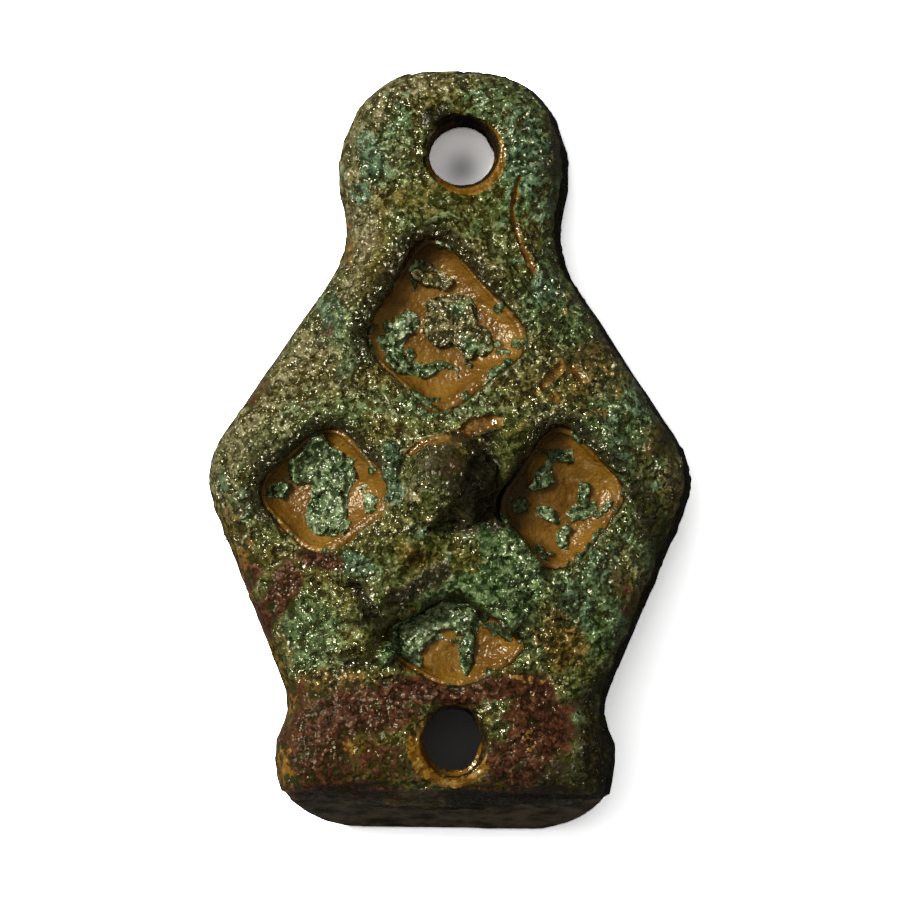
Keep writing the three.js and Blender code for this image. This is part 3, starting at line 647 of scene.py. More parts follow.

# %% [markdown]
# ## Stains and crusts by place
#
# Each patch is an ellipse in the picture, given by its middle, its two half sizes and a turn,
# and the clouds push its edge about so that no ellipse can be seen. Patches count only on
# faces that look up. The sides get theirs from the way they face, and the back from clouds:
# the left-hand sides, towards the light, are made lighter, partly as painted sheen, and the
# right-hand sides and the heel darker, as painted shade. The dark patches are mostly painted
# shade too.

# %% Patches
# kind: (across, down, half width, half height, strength, turn in degrees if it is turned)
PATCHES = {
    "mint": [
        (372, 160, 14, 26, 0.9, 20), (362, 195, 10, 12, 0.7), (398, 128, 16, 10, 0.5, 30),
        (545, 290, 22, 16, 0.8, -30), (540, 200, 12, 26, 0.5), (335, 318, 16, 24, 0.8, 30),
        (640, 400, 16, 30, 0.6, -30), (610, 470, 18, 30, 0.6, -20), (655, 470, 14, 30, 0.5),
        (430, 410, 30, 8, 0.5), (392, 462, 8, 20, 1.1), (398, 492, 8, 14, 1.0), (376, 505, 10, 18, 0.8),
        (250, 500, 16, 26, 0.6), (300, 400, 26, 14, 0.4, 40), (600, 560, 20, 26, 0.5, 30),
        (590, 720, 22, 40, 0.5, 20), (300, 745, 20, 16, 0.45), (360, 565, 22, 12, 0.9, -30),
        (560, 640, 20, 20, 0.35), (470, 600, 30, 10, 0.4, 20), (610, 420, 14, 10, 0.6),
        (530, 150, 26, 40, 0.7, -12), (520, 120, 24, 18, 0.5), (575, 610, 22, 30, 0.6, 20),
        (400, 215, 20, 14, 0.4), (480, 120, 30, 12, 0.3),
    ],
    "lime": [
        (345, 325, 12, 20, 0.5, 30), (500, 595, 22, 16, 0.9), (345, 640, 20, 14, 0.45, 20),
        (592, 466, 9, 7, 1.0), (545, 595, 14, 16, 0.6), (335, 600, 30, 16, 0.5, -20),
        (520, 655, 18, 8, 0.9, -45), (400, 560, 20, 8, 0.4, -30), (470, 425, 26, 6, 0.4, 10),
    ],
    "green": [
        (500, 110, 60, 30, 0.6), (400, 150, 40, 60, 0.5, 20), (560, 190, 20, 50, 0.6),
        (610, 430, 50, 90, 0.7, -15), (600, 600, 44, 80, 0.5, 20), (560, 300, 50, 40, 0.7, -30),
        (430, 405, 70, 20, 0.6), (330, 320, 24, 50, 0.6, 35), (310, 640, 44, 50, 0.8),
        (380, 590, 50, 40, 0.5, -30), (480, 530, 30, 20, 0.5), (330, 415, 60, 20, 0.5, 20),
        (240, 500, 24, 70, 0.5, -10), (570, 740, 40, 60, 0.5, 10), (300, 745, 30, 40, 0.4),
        (400, 700, 60, 20, 0.3), (450, 210, 60, 30, 0.4), (640, 520, 30, 60, 0.6, 15),
        (530, 160, 30, 50, 0.8, -12), (590, 610, 40, 60, 0.8, 20), (525, 635, 40, 30, 0.7),
    ],
    # The first four lie along the left-hand outline, which faces the light: painted sheen
    "tan_and_painted_sheen": [
        (352, 220, 7, 60, 0.8, 8), (300, 330, 10, 60, 0.7, 38), (235, 430, 9, 60, 0.7, 25),
        (215, 480, 7, 30, 0.6), (370, 110, 14, 20, 0.5, 40), (425, 90, 40, 12, 0.4),
        (285, 385, 40, 22, 0.45, 45), (410, 440, 18, 14, 0.5), (400, 415, 24, 12, 0.35, 20),
    ],
    "plum": [
        (320, 560, 22, 9, 0.9, -10), (275, 600, 18, 42, 0.8, -25), (255, 570, 12, 22, 0.7, -20),
        (420, 690, 70, 14, 0.9), (350, 715, 70, 26, 0.8), (480, 690, 60, 16, 0.8, 10),
        (540, 730, 36, 50, 0.85), (515, 765, 34, 30, 0.85), (320, 750, 44, 46, 0.75),
        (340, 790, 70, 14, 0.7), (500, 795, 80, 12, 0.7), (455, 690, 30, 10, 0.9),
        (385, 765, 40, 26, 0.6), (300, 700, 14, 20, 0.6), (520, 690, 26, 14, 0.8, -45),
        (660, 440, 14, 40, 0.5, -30), (630, 600, 12, 50, 0.5, 25), (262, 385, 12, 10, 0.5),
        (400, 432, 5, 5, 0.9), (250, 400, 10, 8, 0.6), (455, 470, 26, 20, 0.6), (330, 330, 8, 8, 0.6),
        (370, 240, 18, 8, 0.4, 30),
    ],
    "amber": [
        (370, 722, 50, 14, 0.8, 5), (300, 690, 26, 16, 0.7), (350, 750, 40, 12, 0.8),
        (460, 790, 60, 8, 0.5), (330, 780, 40, 12, 0.6, 10), (420, 560, 30, 14, 0.6, -20),
        (480, 555, 14, 20, 0.5), (590, 375, 40, 30, 0.6, 40), (560, 310, 20, 30, 0.4, -30),
        (330, 680, 40, 14, 0.8), (280, 650, 16, 24, 0.5), (440, 650, 10, 30, 0.4),
        (545, 745, 8, 22, 0.8), (380, 275, 12, 16, 0.5, 30), (345, 245, 10, 30, 0.5),
        (500, 430, 40, 10, 0.4), (230, 540, 14, 40, 0.6, -15), (420, 200, 40, 20, 0.4),
        (540, 420, 40, 16, 0.4, 20), (560, 640, 26, 40, 0.7, 30), (380, 470, 6, 30, 0.4),
    ],
    "rust": [
        (577, 372, 5, 14, 1.0, 35), (556, 398, 6, 7, 0.9), (590, 350, 8, 16, 0.5, 30),
        (612, 390, 10, 10, 0.5), (600, 415, 9, 9, 0.5), (380, 345, 4, 18, 0.4),
        (565, 365, 7, 14, 0.6, 45), (540, 385, 8, 8, 0.6), (350, 748, 12, 7, 0.6, -20),
        (290, 705, 8, 12, 0.5), (245, 555, 6, 26, 0.6, -15), (225, 520, 5, 20, 0.5, -15),
        (530, 742, 5, 14, 0.5), (345, 230, 5, 40, 0.5, 5), (425, 560, 14, 6, 0.35, 20),
        (380, 590, 18, 10, 0.35), (350, 680, 24, 10, 0.5), (285, 770, 10, 26, 0.6),
        (500, 668, 60, 5, 0.4, -20), (460, 175, 36, 6, 0.35),
    ],
    "satin": [
        (590, 750, 40, 60, 0.9), (460, 200, 70, 36, 0.9), (464, 492, 32, 42, 0.35),
        (400, 205, 40, 24, 0.5), (435, 570, 64, 30, 1.2, -20), (400, 600, 28, 54, 1.1, -40),
        (500, 490, 24, 60, 1.2), (600, 240, 20, 60, 0.5, -20), (660, 520, 20, 70, 0.7, 20),
        (440, 110, 50, 20, 0.5), (600, 660, 20, 60, 0.7, 15), (570, 660, 40, 50, 0.5, 20),
        (380, 760, 60, 40, 0.6),
    ],
    # Mostly painted shade: hollows by the knob, upper-left cell walls, lower-right sides of lumps, right
    # edge
    "dark": [
        (364, 600, 32, 10, 0.75, -56), (416, 586, 40, 11, 0.8, 31), (600, 745, 24, 60, 0.8),
        (570, 775, 44, 20, 0.6), (560, 140, 16, 60, 0.55, -12), (650, 520, 16, 60, 0.6, 20),
        (672, 430, 12, 40, 0.6, -30), (605, 330, 12, 60, 0.4, -38), (600, 690, 12, 30, 0.4),
        (440, 118, 24, 12, 0.75), (460, 505, 26, 10, 0.6, 10), (560, 240, 8, 40, 0.4, -10),
        (489, 484, 18, 46, 0.95), (462, 486, 26, 36, 0.75), (410, 610, 12, 50, 0.5, -42),
        (440, 470, 30, 26, 0.5), (455, 525, 40, 10, 0.6), (352, 664, 18, 6, 0.7, 10),
        (370, 655, 6, 14, 0.6), (362, 625, 12, 5, 0.6, -20), (345, 590, 16, 4, 0.5, -20),
        (498, 444, 8, 14, 0.5, 40), (402, 604, 10, 44, 0.55, -38), (384, 315, 9, 22, 0.7, 35),
        (372, 352, 8, 14, 0.5), (262, 455, 10, 30, 0.5, -45), (378, 357, 4, 4, 1.0),
    ],
}

# Bumps that stand up or sink in: (across, down, half width, half height, lift in mm, turn)
SWELLINGS = [
    (408, 535, 40, 26, 0.5, 40), (424, 474, 18, 22, 0.16, -20), (447, 524, 22, 12, -0.4, 40),
    (488, 484, 20, 44, -0.46), (364, 600, 30, 9, -0.3, -56), (378, 592, 44, 13, 0.3, 47),
    (414, 592, 40, 10, -0.2, 31), (492, 460, 44, 9, 0.22, 66), (444, 476, 30, 24, 0.16),
    (505, 430, 34, 12, 0.24, 40), (500, 408, 20, 14, 0.1), (385, 300, 12, 40, 0.16, 30),
    (262, 440, 12, 34, 0.16, -40), (390, 470, 7, 34, 0.2), (566, 585, 26, 14, 0.1, 30),
    (440, 690, 50, 10, 0.08), (610, 470, 14, 46, 0.12), (300, 640, 20, 34, -0.1), (592, 466, 10, 8, 0.3),
    (345, 575, 16, 10, 0.38, -30), (350, 610, 17, 11, 0.5, 10), (338, 646, 20, 14, 0.62, 20),
    (365, 640, 12, 14, 0.2), (330, 600, 16, 10, 0.12, -10), (395, 568, 30, 9, 0.12, -25),
    (520, 573, 22, 9, 0.2, 25), (548, 598, 12, 22, 0.28, 10), (520, 622, 14, 10, 0.18, -40),
    (497, 592, 5, 4, -0.3), (516, 228, 6, 46, -0.1, -4), (500, 590, 26, 14, 0.16),
    (372, 160, 12, 22, 0.12, 20), (545, 290, 16, 12, 0.1, -30), (398, 208, 22, 10, 0.1, 20),
    (338, 322, 12, 26, 0.12, 30), (618, 420, 20, 12, 0.1), (520, 655, 16, 7, 0.16, -45),
    (577, 372, 5, 14, -0.14, 35), (556, 398, 6, 7, -0.12), (376, 505, 7, 20, 0.12),
    (430, 690, 40, 5, -0.05), (300, 470, 8, 40, 0.04), (660, 470, 10, 30, 0.05),
]

# The green sheet that runs out of the lower cell towards the right one
SHEET = [
    (477, 515), (504, 522), (520, 545), (536, 565), (545, 584), (534, 603), (523, 622), (512, 640),
    (500, 630), (485, 622), (470, 612), (440, 610), (415, 622), (395, 645), (388, 672), (378, 668),
    (380, 645), (392, 622), (412, 602), (436, 584), (456, 572), (477, 571), (483, 560), (477, 545),
]

# Long cracks in the crust with ochre in them
CRACKS = [
    [
        (523, 175), (519, 187), (520, 198), (515, 208), (518, 223), (524, 244), (532, 259),
        (538, 269), (532, 276), (525, 264), (519, 244), (512, 228), (509, 208), (511, 193), (517, 177),
    ],
    [(455, 431), (469, 420), (490, 415), (504, 418), (500, 427), (482, 433), (463, 437)],
    [(404, 452), (425, 441), (455, 434), (478, 438), (455, 447), (430, 450), (412, 457)],
    [(552, 368), (560, 362), (564, 370), (549, 384), (541, 392), (538, 386)],
]

# Shares of the half sizes at which a patch has ended, and at which it is full
PATCH_EDGE = (1.45, 0.55)


def ellipse(places, patch, wobble):
    """The strength of a patch in its middle and 0 well outside it, with a wandering edge."""
    across, down, half_width, half_height, strength, *turn = patch
    angle = math.radians(sum(turn))
    u = places[:, 0] - across
    v = down - places[:, 1]
    along = (u * math.cos(angle) + v * math.sin(angle)) / half_width
    aside = (v * math.cos(angle) - u * math.sin(angle)) / half_height
    reach = np.sqrt(along ** 2 + aside ** 2) + wobble
    return ramp(reach, *PATCH_EDGE) * strength


def outline(places, corners):
    """How far inside a closed outline in the picture a place is, in pixels."""
    inside = np.zeros(len(places), bool)
    nearest = np.full(len(places), np.inf)
    for start, end in zip(corners, corners[1:] + corners[:1]):
        start = np.array(start, float)
        along = np.array(end, float) - start
        offset = places - start
        part = np.clip(offset @ along / (along @ along), 0, 1)
        gap = np.linalg.norm(offset - part[:, None] * along, axis=1)
        nearest = np.minimum(nearest, gap)
        if along[1] != 0:
            cross = (offset[:, 1] >= 0) != (offset[:, 1] >= along[1])
            inside ^= cross & (places[:, 0] < start[0] + offset[:, 1] / along[1] * along[0])
    return np.where(inside, nearest, -nearest)


def wandering(points, size, seed, reach):
    """A number that wanders over the surface by up to half of `reach` to either side."""
    return (layered_cloud(points, size, seed) - 0.5) * reach


points = corners_of(casting)
facing = normals_of(casting)
places = picture_places(points)
upward = ramp(facing[:, 2], -0.1, 0.25)
wobble = wandering(points, 1.1, 31, 1.3)
masks = {}
for kind, patches in PATCHES.items():
    total = np.zeros(len(points))
    for patch in patches:
        total = np.maximum(total, ellipse(places, patch, wobble))
    masks[kind] = total * upward
print("patches:", {kind: len(patches) for kind, patches in PATCHES.items()})

# %% The rims of the cells
CELLS = ("top", "left", "right", "lower")
RIM_DIRECTIONS = 72


def rim_turns(points, middle):
    """How far each point is from the middle of a cell, and in which of the directions."""
    offsets = (points - middle)[:, :2]
    turns = (np.arctan2(offsets[:, 1], offsets[:, 0]) / math.tau) % 1 * RIM_DIRECTIONS
    return np.hypot(*offsets.T), turns


def rim_distances(points, middle):
    """How far the rim of a cell is from its middle, in each direction."""
    distances, turns = rim_turns(points, middle)
    reach = np.zeros(RIM_DIRECTIONS)
    np.maximum.at(reach, turns.astype(int) % RIM_DIRECTIONS, distances)
    return (np.roll(reach, 1) + 2 * reach + np.roll(reach, -1)) / 4


def share_of_rim(points, middle, reach):
    """0 over the middle of a cell, 1 over its rim, and more outside it."""
    distances, turns = rim_turns(points, middle)
    low = np.floor(turns - 0.5).astype(int)
    part = turns - 0.5 - low
    here = reach[low % RIM_DIRECTIONS] * (1 - part)
    return distances / (here + reach[(low + 1) % RIM_DIRECTIONS] * part)


FILL_VOXEL = 0.085
fills = {}
rims = {}
for cell in CELLS:
    fills[cell] = remesh(copy_in_mm(f"{cell}_cell_fill", f"{cell}_ochre_fill"), FILL_VOXEL)
    fill_points = corners_of(fills[cell])
    middle = (fill_points.min(0) + fill_points.max(0)) / 2
    rims[cell] = (middle, rim_distances(fill_points, middle))
    narrow, wide = (round(float(distance(rims[cell][1])), 2) for distance in (np.min, np.max))
    print(cell, "cell reaches", narrow, "to", wide, "mm")

# %% Places that follow the shape
# Middle of each rivet hole and the outer radius of its rounded mouth, in mm
BORES = {"eye": (0.62, 17.0, 2.75), "foot": (0.35, -17.0, 2.6)}


def bore_share(points, bore):
    """0 over the middle of a rivet hole and 1 at the edge of its mouth."""
    across, up, radius = bore
    return np.hypot(points[:, 0] - across, points[:, 1] - up) / radius


def add_mask(kind, values):
    masks[kind] = np.maximum(masks.get(kind, 0.0), values)


eye_across, eye_up, eye_radius = BORES["eye"]
# Partly painted light: the bright bore ochre is pushed up the upper-right wall of the eye, in shadow
upper_right = ((points[:, 0] - eye_across) * 0.35 + (points[:, 1] - eye_up) * 0.94) / eye_radius
eye_lining = bore_share(points, BORES["eye"]) - 0.12 * np.clip(upper_right, -1, 1)
foot_bore = bore_share(points, BORES["foot"])
in_bore = ramp(eye_lining, 0.86, 0.78) + ramp(foot_bore, 0.84, 0.76)
# Below the foot hole the rounded mouth is bare, in the shape of a crescent
crescent = ramp(foot_bore, 1.04, 0.98) * ramp(points[:, 1] + 0.4 * points[:, 0], -16.9, -17.5)
foot_wall = ramp(foot_bore, 0.84, 0.76) * ramp(np.abs(facing[:, 0]), 0.4, 0.9)
side = ramp(np.abs(facing[:, 2]), 0.75, 0.35)
left_side_to_light = side * (points[:, 0] < 0)
under = ramp(facing[:, 2], 0.0, -0.4)
# The smooth heel begins at a crease that sags a little in the middle of the picture
crease = 799 + 9 * np.cos((places[:, 0] - 450) / 95) + wobble * 5
heel = ramp(places[:, 1] - crease, -6, 5) * ramp(facing[:, 1], -0.2, -0.5)
broad = layered_cloud(points, 5.0, 41)
medium = layered_cloud(points, 1.6, 51)
torn = wandering(points, 0.8, 55, 1)

# Where each corner is in its cell: below 1 inside the rim, above 1 outside it
nearest_cell = np.full(len(points), 9.0)
lower_side = np.zeros(len(points))
for middle, reach in rims.values():
    share = share_of_rim(points, middle, reach)
    closer = share < nearest_cell
    nearest_cell[closer] = share[closer]
    down_right = (points - middle) @ np.array([0.45, -0.9, 0])
    lower_side[closer] = ramp(down_right, -0.5, 1.5)[closer]

# Partly painted light: the left-hand sides face the light and are made lighter, tan above, amber below
add_mask("tan_and_painted_sheen", left_side_to_light * 0.75 * ramp(points[:, 1], -8, 0))
# Painted sheen: slopes that face the light get a lighter tan band
slope_to_the_light = ramp(facing @ np.array([-0.82, 0.57, 0.0]), 0.20, 0.42) * ramp(facing[:, 2], 0.45, 0.7)
add_mask("tan_and_painted_sheen", slope_to_the_light * ramp(points[:, 1], -12, -4) * 0.62)
add_mask("amber", left_side_to_light * 0.8 * ramp(points[:, 1], 0, -8))
# Painted shade: the heel strip faces down, and the right-hand sides face away from the light
add_mask("dark", heel * 0.95)
add_mask("dark", side * (points[:, 0] > 0) * 0.8)
add_mask("plum", under * ramp(broad, 0.50, 0.66) * 0.9)
add_mask("rust", under * ramp(medium, 0.66, 0.80) * 0.8)
add_mask("mint", ramp(medium, 0.62, 0.78) * 0.55)
add_mask("rust", in_bore * 0.62)
add_mask("bore", crescent * 1.1)
# Partly painted light: bright ochre on the eye's walls, which lie in shadow
add_mask("bore", ramp(eye_lining, 0.86, 0.80) * 1.1)
add_mask("bore", ramp(foot_bore, 0.86, 0.80) * 0.9)
add_mask("sheet", ramp(outline(places, SHEET) + wobble * 9, -3, 3) * upward)
strip = np.zeros(len(points))
strip_edge = np.zeros(len(points))
for corners in CRACKS:
    inward = outline(places, corners) + wobble * 2
    strip = np.maximum(strip, ramp(inward, -0.6, 1.0) * upward)
    strip_edge = np.maximum(strip_edge, ramp(inward, -4, -1) * ramp(inward, 2, 0) * upward)
add_mask("rust", strip)
# Painted shade: the upper-left walls of the cell mouths, turned from the light, are darkened
shaded_rim_wall = ramp(nearest_cell, 0.97, 1.02) * ramp(nearest_cell, 1.30, 1.10) * (1 - lower_side) * upward
add_mask("dark", shaded_rim_wall * (1 - masks["sheet"]) * 0.62)
mouth = ramp(nearest_cell + torn * 0.24, 1.03, 0.99) * upward * ramp(medium, 0.42, 0.58)
add_mask("rust", mouth * 0.95)
print("share of the surface on its sides:", round(float(side.mean()), 2))

# %% Granular or smooth
granular = (1 - 0.85 * heel) * (1 - 0.55 * under)
granular *= 1 - 0.8 * np.maximum(masks["rust"], np.minimum(masks["bore"], 1.0))
granular *= 1 - 0.50 * ramp(masks["plum"], 0.10, 0.60)
granular *= 1 - 0.35 * masks["satin"]
granular *= 1 - ramp(nearest_cell, 1.05, 0.99) * upward

# %% Raised or sunk
# The lift may bring the crust up to here, in mm over the table, and its lumps come on top
HIGHEST = 9.96
lift = np.zeros(len(points))
for patch in SWELLINGS:
    lift += ellipse(places, patch, wobble * 0.6) * upward
lift += wandering(points, 2.4, 61, 0.20) * (0.3 + 0.7 * upward)
ridge = ramp(nearest_cell, 0.98, 1.22) * ramp(nearest_cell, 1.62, 1.26) * (1 - 0.85 * masks["sheet"])
lift += (0.46 - 0.36 * lower_side) * ridge * upward * (0.6 + 0.8 * broad)
lift += 0.30 * masks["sheet"] + 0.14 * strip_edge - 0.05 * strip
lift += 0.22 * masks["sheet"] * ramp(nearest_cell, 0.98, 1.04) * ramp(nearest_cell, 1.30, 1.10)
lift += 0.17 * foot_wall - 0.14 * crescent * upward * ramp(foot_bore, 0.98, 0.80)
in_pocket = ramp(nearest_cell, 0.96, 0.91) * upward
lift = lift * (1 - in_pocket) - 0.16 * in_pocket
at_lip = ramp(nearest_cell, 0.94, 0.98) * ramp(nearest_cell, 1.10, 1.03) * upward
lift += at_lip * (0.14 + 0.30 * torn)
lift = np.minimum(lift, HIGHEST - points[:, 2])
masks["heel"] = heel
masks["side"] = ramp(facing[:, 2], 0.45, 0.25)
masks["granular"] = granular
masks["lift"] = lift
for kind, values in masks.items():
    store(casting, kind, values)
print("lift from", round(float(lift.min()), 2), "to", round(float(lift.max()), 2), "mm")

# %% Raise the relief
apply_tree(
    casting, relief, lump_size=1.15, lump_height=0.25, grain_size=0.48, grain_height=0.15,
    seed=3.0, finish=patina,
)
for finish in (side_patina, dark_bronze, calm_patina):
    casting.data.materials.append(finish)
calm = np.maximum(numbers_of(casting, "plum"), numbers_of(casting, "satin"))
calm += wandering(corners_of(casting), 0.5, 63, 0.6)
# Number of the finish in the mesh: where it counts, and the least mean over a face
ZONES = (
    (3, calm, 0.42), (1, numbers_of(casting, "side"), 0.5), (2, numbers_of(casting, "heel"), 0.6),
)
finish_of_face = np.zeros(len(casting.data.polygons), np.int32)
for number, face in enumerate(casting.data.polygons):
    around_face = list(face.vertices)
    for finish_number, values, least in ZONES:
        if values[around_face].mean() > least:
            finish_of_face[number] = finish_number
casting.data.polygons.foreach_set("material_index", finish_of_face)
print("casting:", triangles(casting), "triangles, faces by finish:", np.bincount(finish_of_face))

# %% [markdown]
# ## The fill in the cells
#
# The fill is a skin that follows each cell up to its lip: on the real mount it is smooth and
# wet-looking, and it sags and swells a little, like poured resin. Each CAD lining is remeshed
# finer than the casting and gets low broad waves on the side that shows, and a torn rim.

# %% Fill pieces
# Small remains of crust on the fill, given as the patches are
CRUST_BITS = [
    (418, 268, 9, 7, 1.0), (414, 284, 5, 12, 0.9), (405, 318, 8, 9, 1.0, 20), (393, 327, 10, 7, 1.0),
    (443, 243, 6, 4, 1.0), (499, 307, 6, 5, 1.0), (518, 345, 7, 6, 1.0), (440, 366, 20, 5, 0.9, -10),
    (431, 277, 14, 6, 0.8, -30), (386, 345, 6, 24, 0.7), (407, 355, 8, 8, 0.8),
    (500, 350, 12, 6, 0.7, -30), (372, 470, 10, 5, 0.8, 40), (345, 462, 8, 6, 0.8),
    (275, 490, 12, 6, 0.9), (522, 505, 9, 9, 1.0), (555, 455, 20, 6, 0.8, -20),
    (583, 512, 14, 8, 0.9, 20), (566, 538, 4, 12, 0.9), (541, 552, 9, 5, 1.0, -20),
    (545, 515, 12, 5, 0.8, -20), (495, 625, 12, 10, 0.8), (430, 620, 10, 8, 0.8), (470, 640, 8, 10, 0.7),
    (396, 645, 10, 34, 1.0, -40), (425, 612, 28, 10, 1.0, 25), (456, 602, 28, 10, 1.0),
    (486, 610, 22, 10, 1.0, -15), (508, 626, 16, 10, 1.0, -40),
]
pieces = []
# The light comes from the upper left: a fill is dark on that side and its far brim stands up
AWAY_FROM_LIGHT = np.array([0.62, -0.78, 0.0])
# The shadow of the knob on the right fill
KNOB_SHADOW = (509, 478, 23, 62, 0.95)
for number, cell in enumerate(CELLS):
    fill = fills[cell]
    points = corners_of(fill)
    shown = ramp(normals_of(fill)[:, 2], 0.05, 0.45)
    middle, reach = rims[cell]
    share = share_of_rim(points, middle, reach)
    crusted = ramp(share + wandering(points, 0.8, 55, 1) * 0.34, 0.96, 1.00)
    fill_places = picture_places(points)
    wobble_here = wandering(points, 0.7, 57, 1.6)
    for bit in CRUST_BITS:
        crusted = np.maximum(crusted, ellipse(fill_places, bit, wobble_here))
    waves = (layered_cloud(points, 1.5, 71 + number, 2) - 0.5) * 0.20
    store(fill, "granular", shown * (0.3 + 0.7 * crusted))
    slant = (points - middle) @ AWAY_FROM_LIGHT / reach.max()
    brim = ramp(slant, 0.05, 0.95)
    store(fill, "lift", (waves + 0.10 * crusted + 0.24 * brim) * shown)
    store(fill, "crusted", crusted)
    shade = ellipse(fill_places, KNOB_SHADOW, wobble_here * 0.5)
    store(fill, "shade", np.maximum(shade, 0.7 * ramp(slant, -0.30, -0.85)))
    apply_tree(
        fill, relief, lump_size=0.8, lump_height=0.06, grain_size=0.5, grain_height=0.03,
        seed=10.0 + number, finish=ochre,
    )
    pieces.append((fill, f"{cell}_cell_fill", "cell_fill"))
    print(fill.name, triangles(fill), "triangles")

# %% [markdown]
# ## Flakes of crust
#
# What is left of the crust in the cells lies on the fill as islands with broken edges. Each
# CAD flake is remeshed at a fifteenth of a millimetre, then its rim is sunk and pushed in and
# out by clouds, so that it reads as broken and not as cut, and its grains are raised.

# %% Flake pieces
FLAKE_VOXEL = 0.065
# How deep the rim of a flake sinks, in mm
RIM_DROP = 0.42
OLIVE_FLAKES = ("top_cell_crust_middle", "top_cell_crust_upper")
flake_nodes = [name for name in sorted(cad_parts) if "_crust_" in name]
flake_triangles = 0
for number, node in enumerate(flake_nodes):
    flake = remesh(copy_in_mm(node, node + "_flake"), FLAKE_VOXEL)
    points = corners_of(flake)
    facing = normals_of(flake)
    edge = ramp(np.abs(facing[:, 2]), 0.75, 0.35)
    shown = ramp(facing[:, 2], -0.3, 0.3)
    tree_of_rim = KDTree(int((edge > 0.9).sum()))
    for index, corner in enumerate(points[edge > 0.9]):
        tree_of_rim.insert((corner[0], corner[1], 0), index)
    tree_of_rim.balance()
    inset = np.array([tree_of_rim.find((corner[0], corner[1], 0))[2] for corner in points])
    broken = (layered_cloud(points * (1, 1, 0), 0.75, 81 + number, 3) - 0.5) * 1.6
    sunk = ramp(inset + broken, 0.28, 0.02) * RIM_DROP
    points[:, 2] -= sunk * ramp(facing[:, 2], -0.6, 0.0)
    flake.data.vertices.foreach_set("co", points.astype(np.float32).ravel())
    ragged = (layered_cloud(points, 0.45, 81 + number, 2) - 0.45) * 0.5
    store(flake, "granular", 0.25 + 0.75 * shown)
    store(flake, "lift", ragged * edge + 0.02 * shown)
    store(flake, "olive", np.full(len(points), 1.0 if node in OLIVE_FLAKES else 0.0))
    apply_tree(
        flake, relief, lump_size=0.6, lump_height=0.12, grain_size=0.30, grain_height=0.10,
        seed=30.0 + number, finish=crust,
    )
    pieces.append((flake, node, "green_crust"))
    flake_triangles += triangles(flake)
print("flakes:", len(flake_nodes), "with", flake_triangles, "triangles")

# %% [markdown]
# ## Grains on the crust
#
# Over the crust of the casting lie thousands of separate glassy grains, the largest a quarter
# of a millimetre across. They repeat and follow the surface, so geometry nodes scatter them:
# points at a least distance from each other, a pebble of twenty faces on each, sunk halfway
# in, and turned and sized by chance with a fixed seed.

# %% The scatter tree
PEBBLE_FACES = 20
# In radians
FULL_TURN = 6.283


def random_value(tree, kind, seed, low, high):
    """A number or a vector by chance for each point, between two others."""
    ends = {"FLOAT": (2, 3), "FLOAT_VECTOR": (0, 1)}[kind]
    inputs = {ends[0]: low, ends[1]: high, "Seed": seed}
    node = add_node(tree, "FunctionNodeRandomValue", inputs, data_type=kind)
    return node.outputs[1 if kind == "FLOAT" else 0]


def grain_tree():
    tree, start, end = geometry_tree(
        "crust grains", spacing=0.24, density=26.0, smallest=0.06, largest=0.14, seed=1
    )
    seed = start["Seed"]
    kind = "GeometryNodeDistributePointsOnFaces"
    spread = add_node(tree, kind, distribute_method="POISSON", inputs={
        "Mesh": start["Geometry"], "Distance Min": start["Spacing"], "Seed": seed,
        "Density Max": start["Density"], "Density Factor": named_attribute(tree, "grains"),
    })
    pebble = add_node(tree, "GeometryNodeMeshIcoSphere", {"Radius": 1.0, "Subdivisions": 1})
    size = random_value(tree, "FLOAT", seed, start["Smallest"], start["Largest"])
    shape = random_value(tree, "FLOAT_VECTOR", seed, (0.7, 0.7, 0.5), (1.3, 1.2, 0.9))
    place = add_node(tree, "GeometryNodeInstanceOnPoints", {
        "Points": spread.outputs["Points"], "Instance": pebble.outputs["Mesh"],
        "Rotation": random_value(tree, "FLOAT_VECTOR", seed, (0.0,) * 3, (FULL_TURN,) * 3),
        "Scale": vector_maths(tree, "SCALE", shape, size),
    })
    close_tree(tree, place.outputs[0], start, end)
    return tree


# %% Where the grains lie
# Grains keep clear of the rivet holes, by these middles and radii, and of the cells
CLEAR_OF_GRAINS = ((0.62, 17.0, 2.6), (0.35, -17.2, 2.3))
CELL_DEPTH = 1.1
points = corners_of(casting)
facing = normals_of(casting)
wanted = ramp(facing[:, 2], 0.25, 0.5) * ramp(points[:, 1], -19.4, -18.6)
for bore in CLEAR_OF_GRAINS:
    wanted *= ramp(bore_share(points, bore), 0.95, 1.1)
for kind, share in {"rust": 0.95, "satin": 0.85}.items():
    wanted *= 1 - share * numbers_of(casting, kind)
wanted *= 1 - 0.95 * ramp(numbers_of(casting, "plum"), 0.10, 0.50)
wanted *= ramp(layered_cloud(points, 1.0, 91), 0.28, 0.5)
for cell in CELLS:
    low, high = (np.array(corner) * MM_PER_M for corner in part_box(f"{cell}_cell_fill"))
    inside = np.all((points > low)[:, :2] & (points < high)[:, :2], axis=1)
    wanted *= 1 - inside * (points[:, 2] < high[2] - CELL_DEPTH)
store(casting, "grains", wanted)

grains = link(bpy.data.objects.new("crust_grains", casting.data.copy()))
apply_tree(
    grains, grain_tree(), spacing=0.24, density=26.0, smallest=0.035, largest=0.100,
    seed=5, finish=patina,
)
print("grains:", triangles(grains) // PEBBLE_FACES, "of twenty faces")

# %% [markdown]
# ## Back to metres
#
# Each piece is scaled back and rides on the one body, and the CAD node that it stands for is
# hidden. There is nothing on this mount that moves.

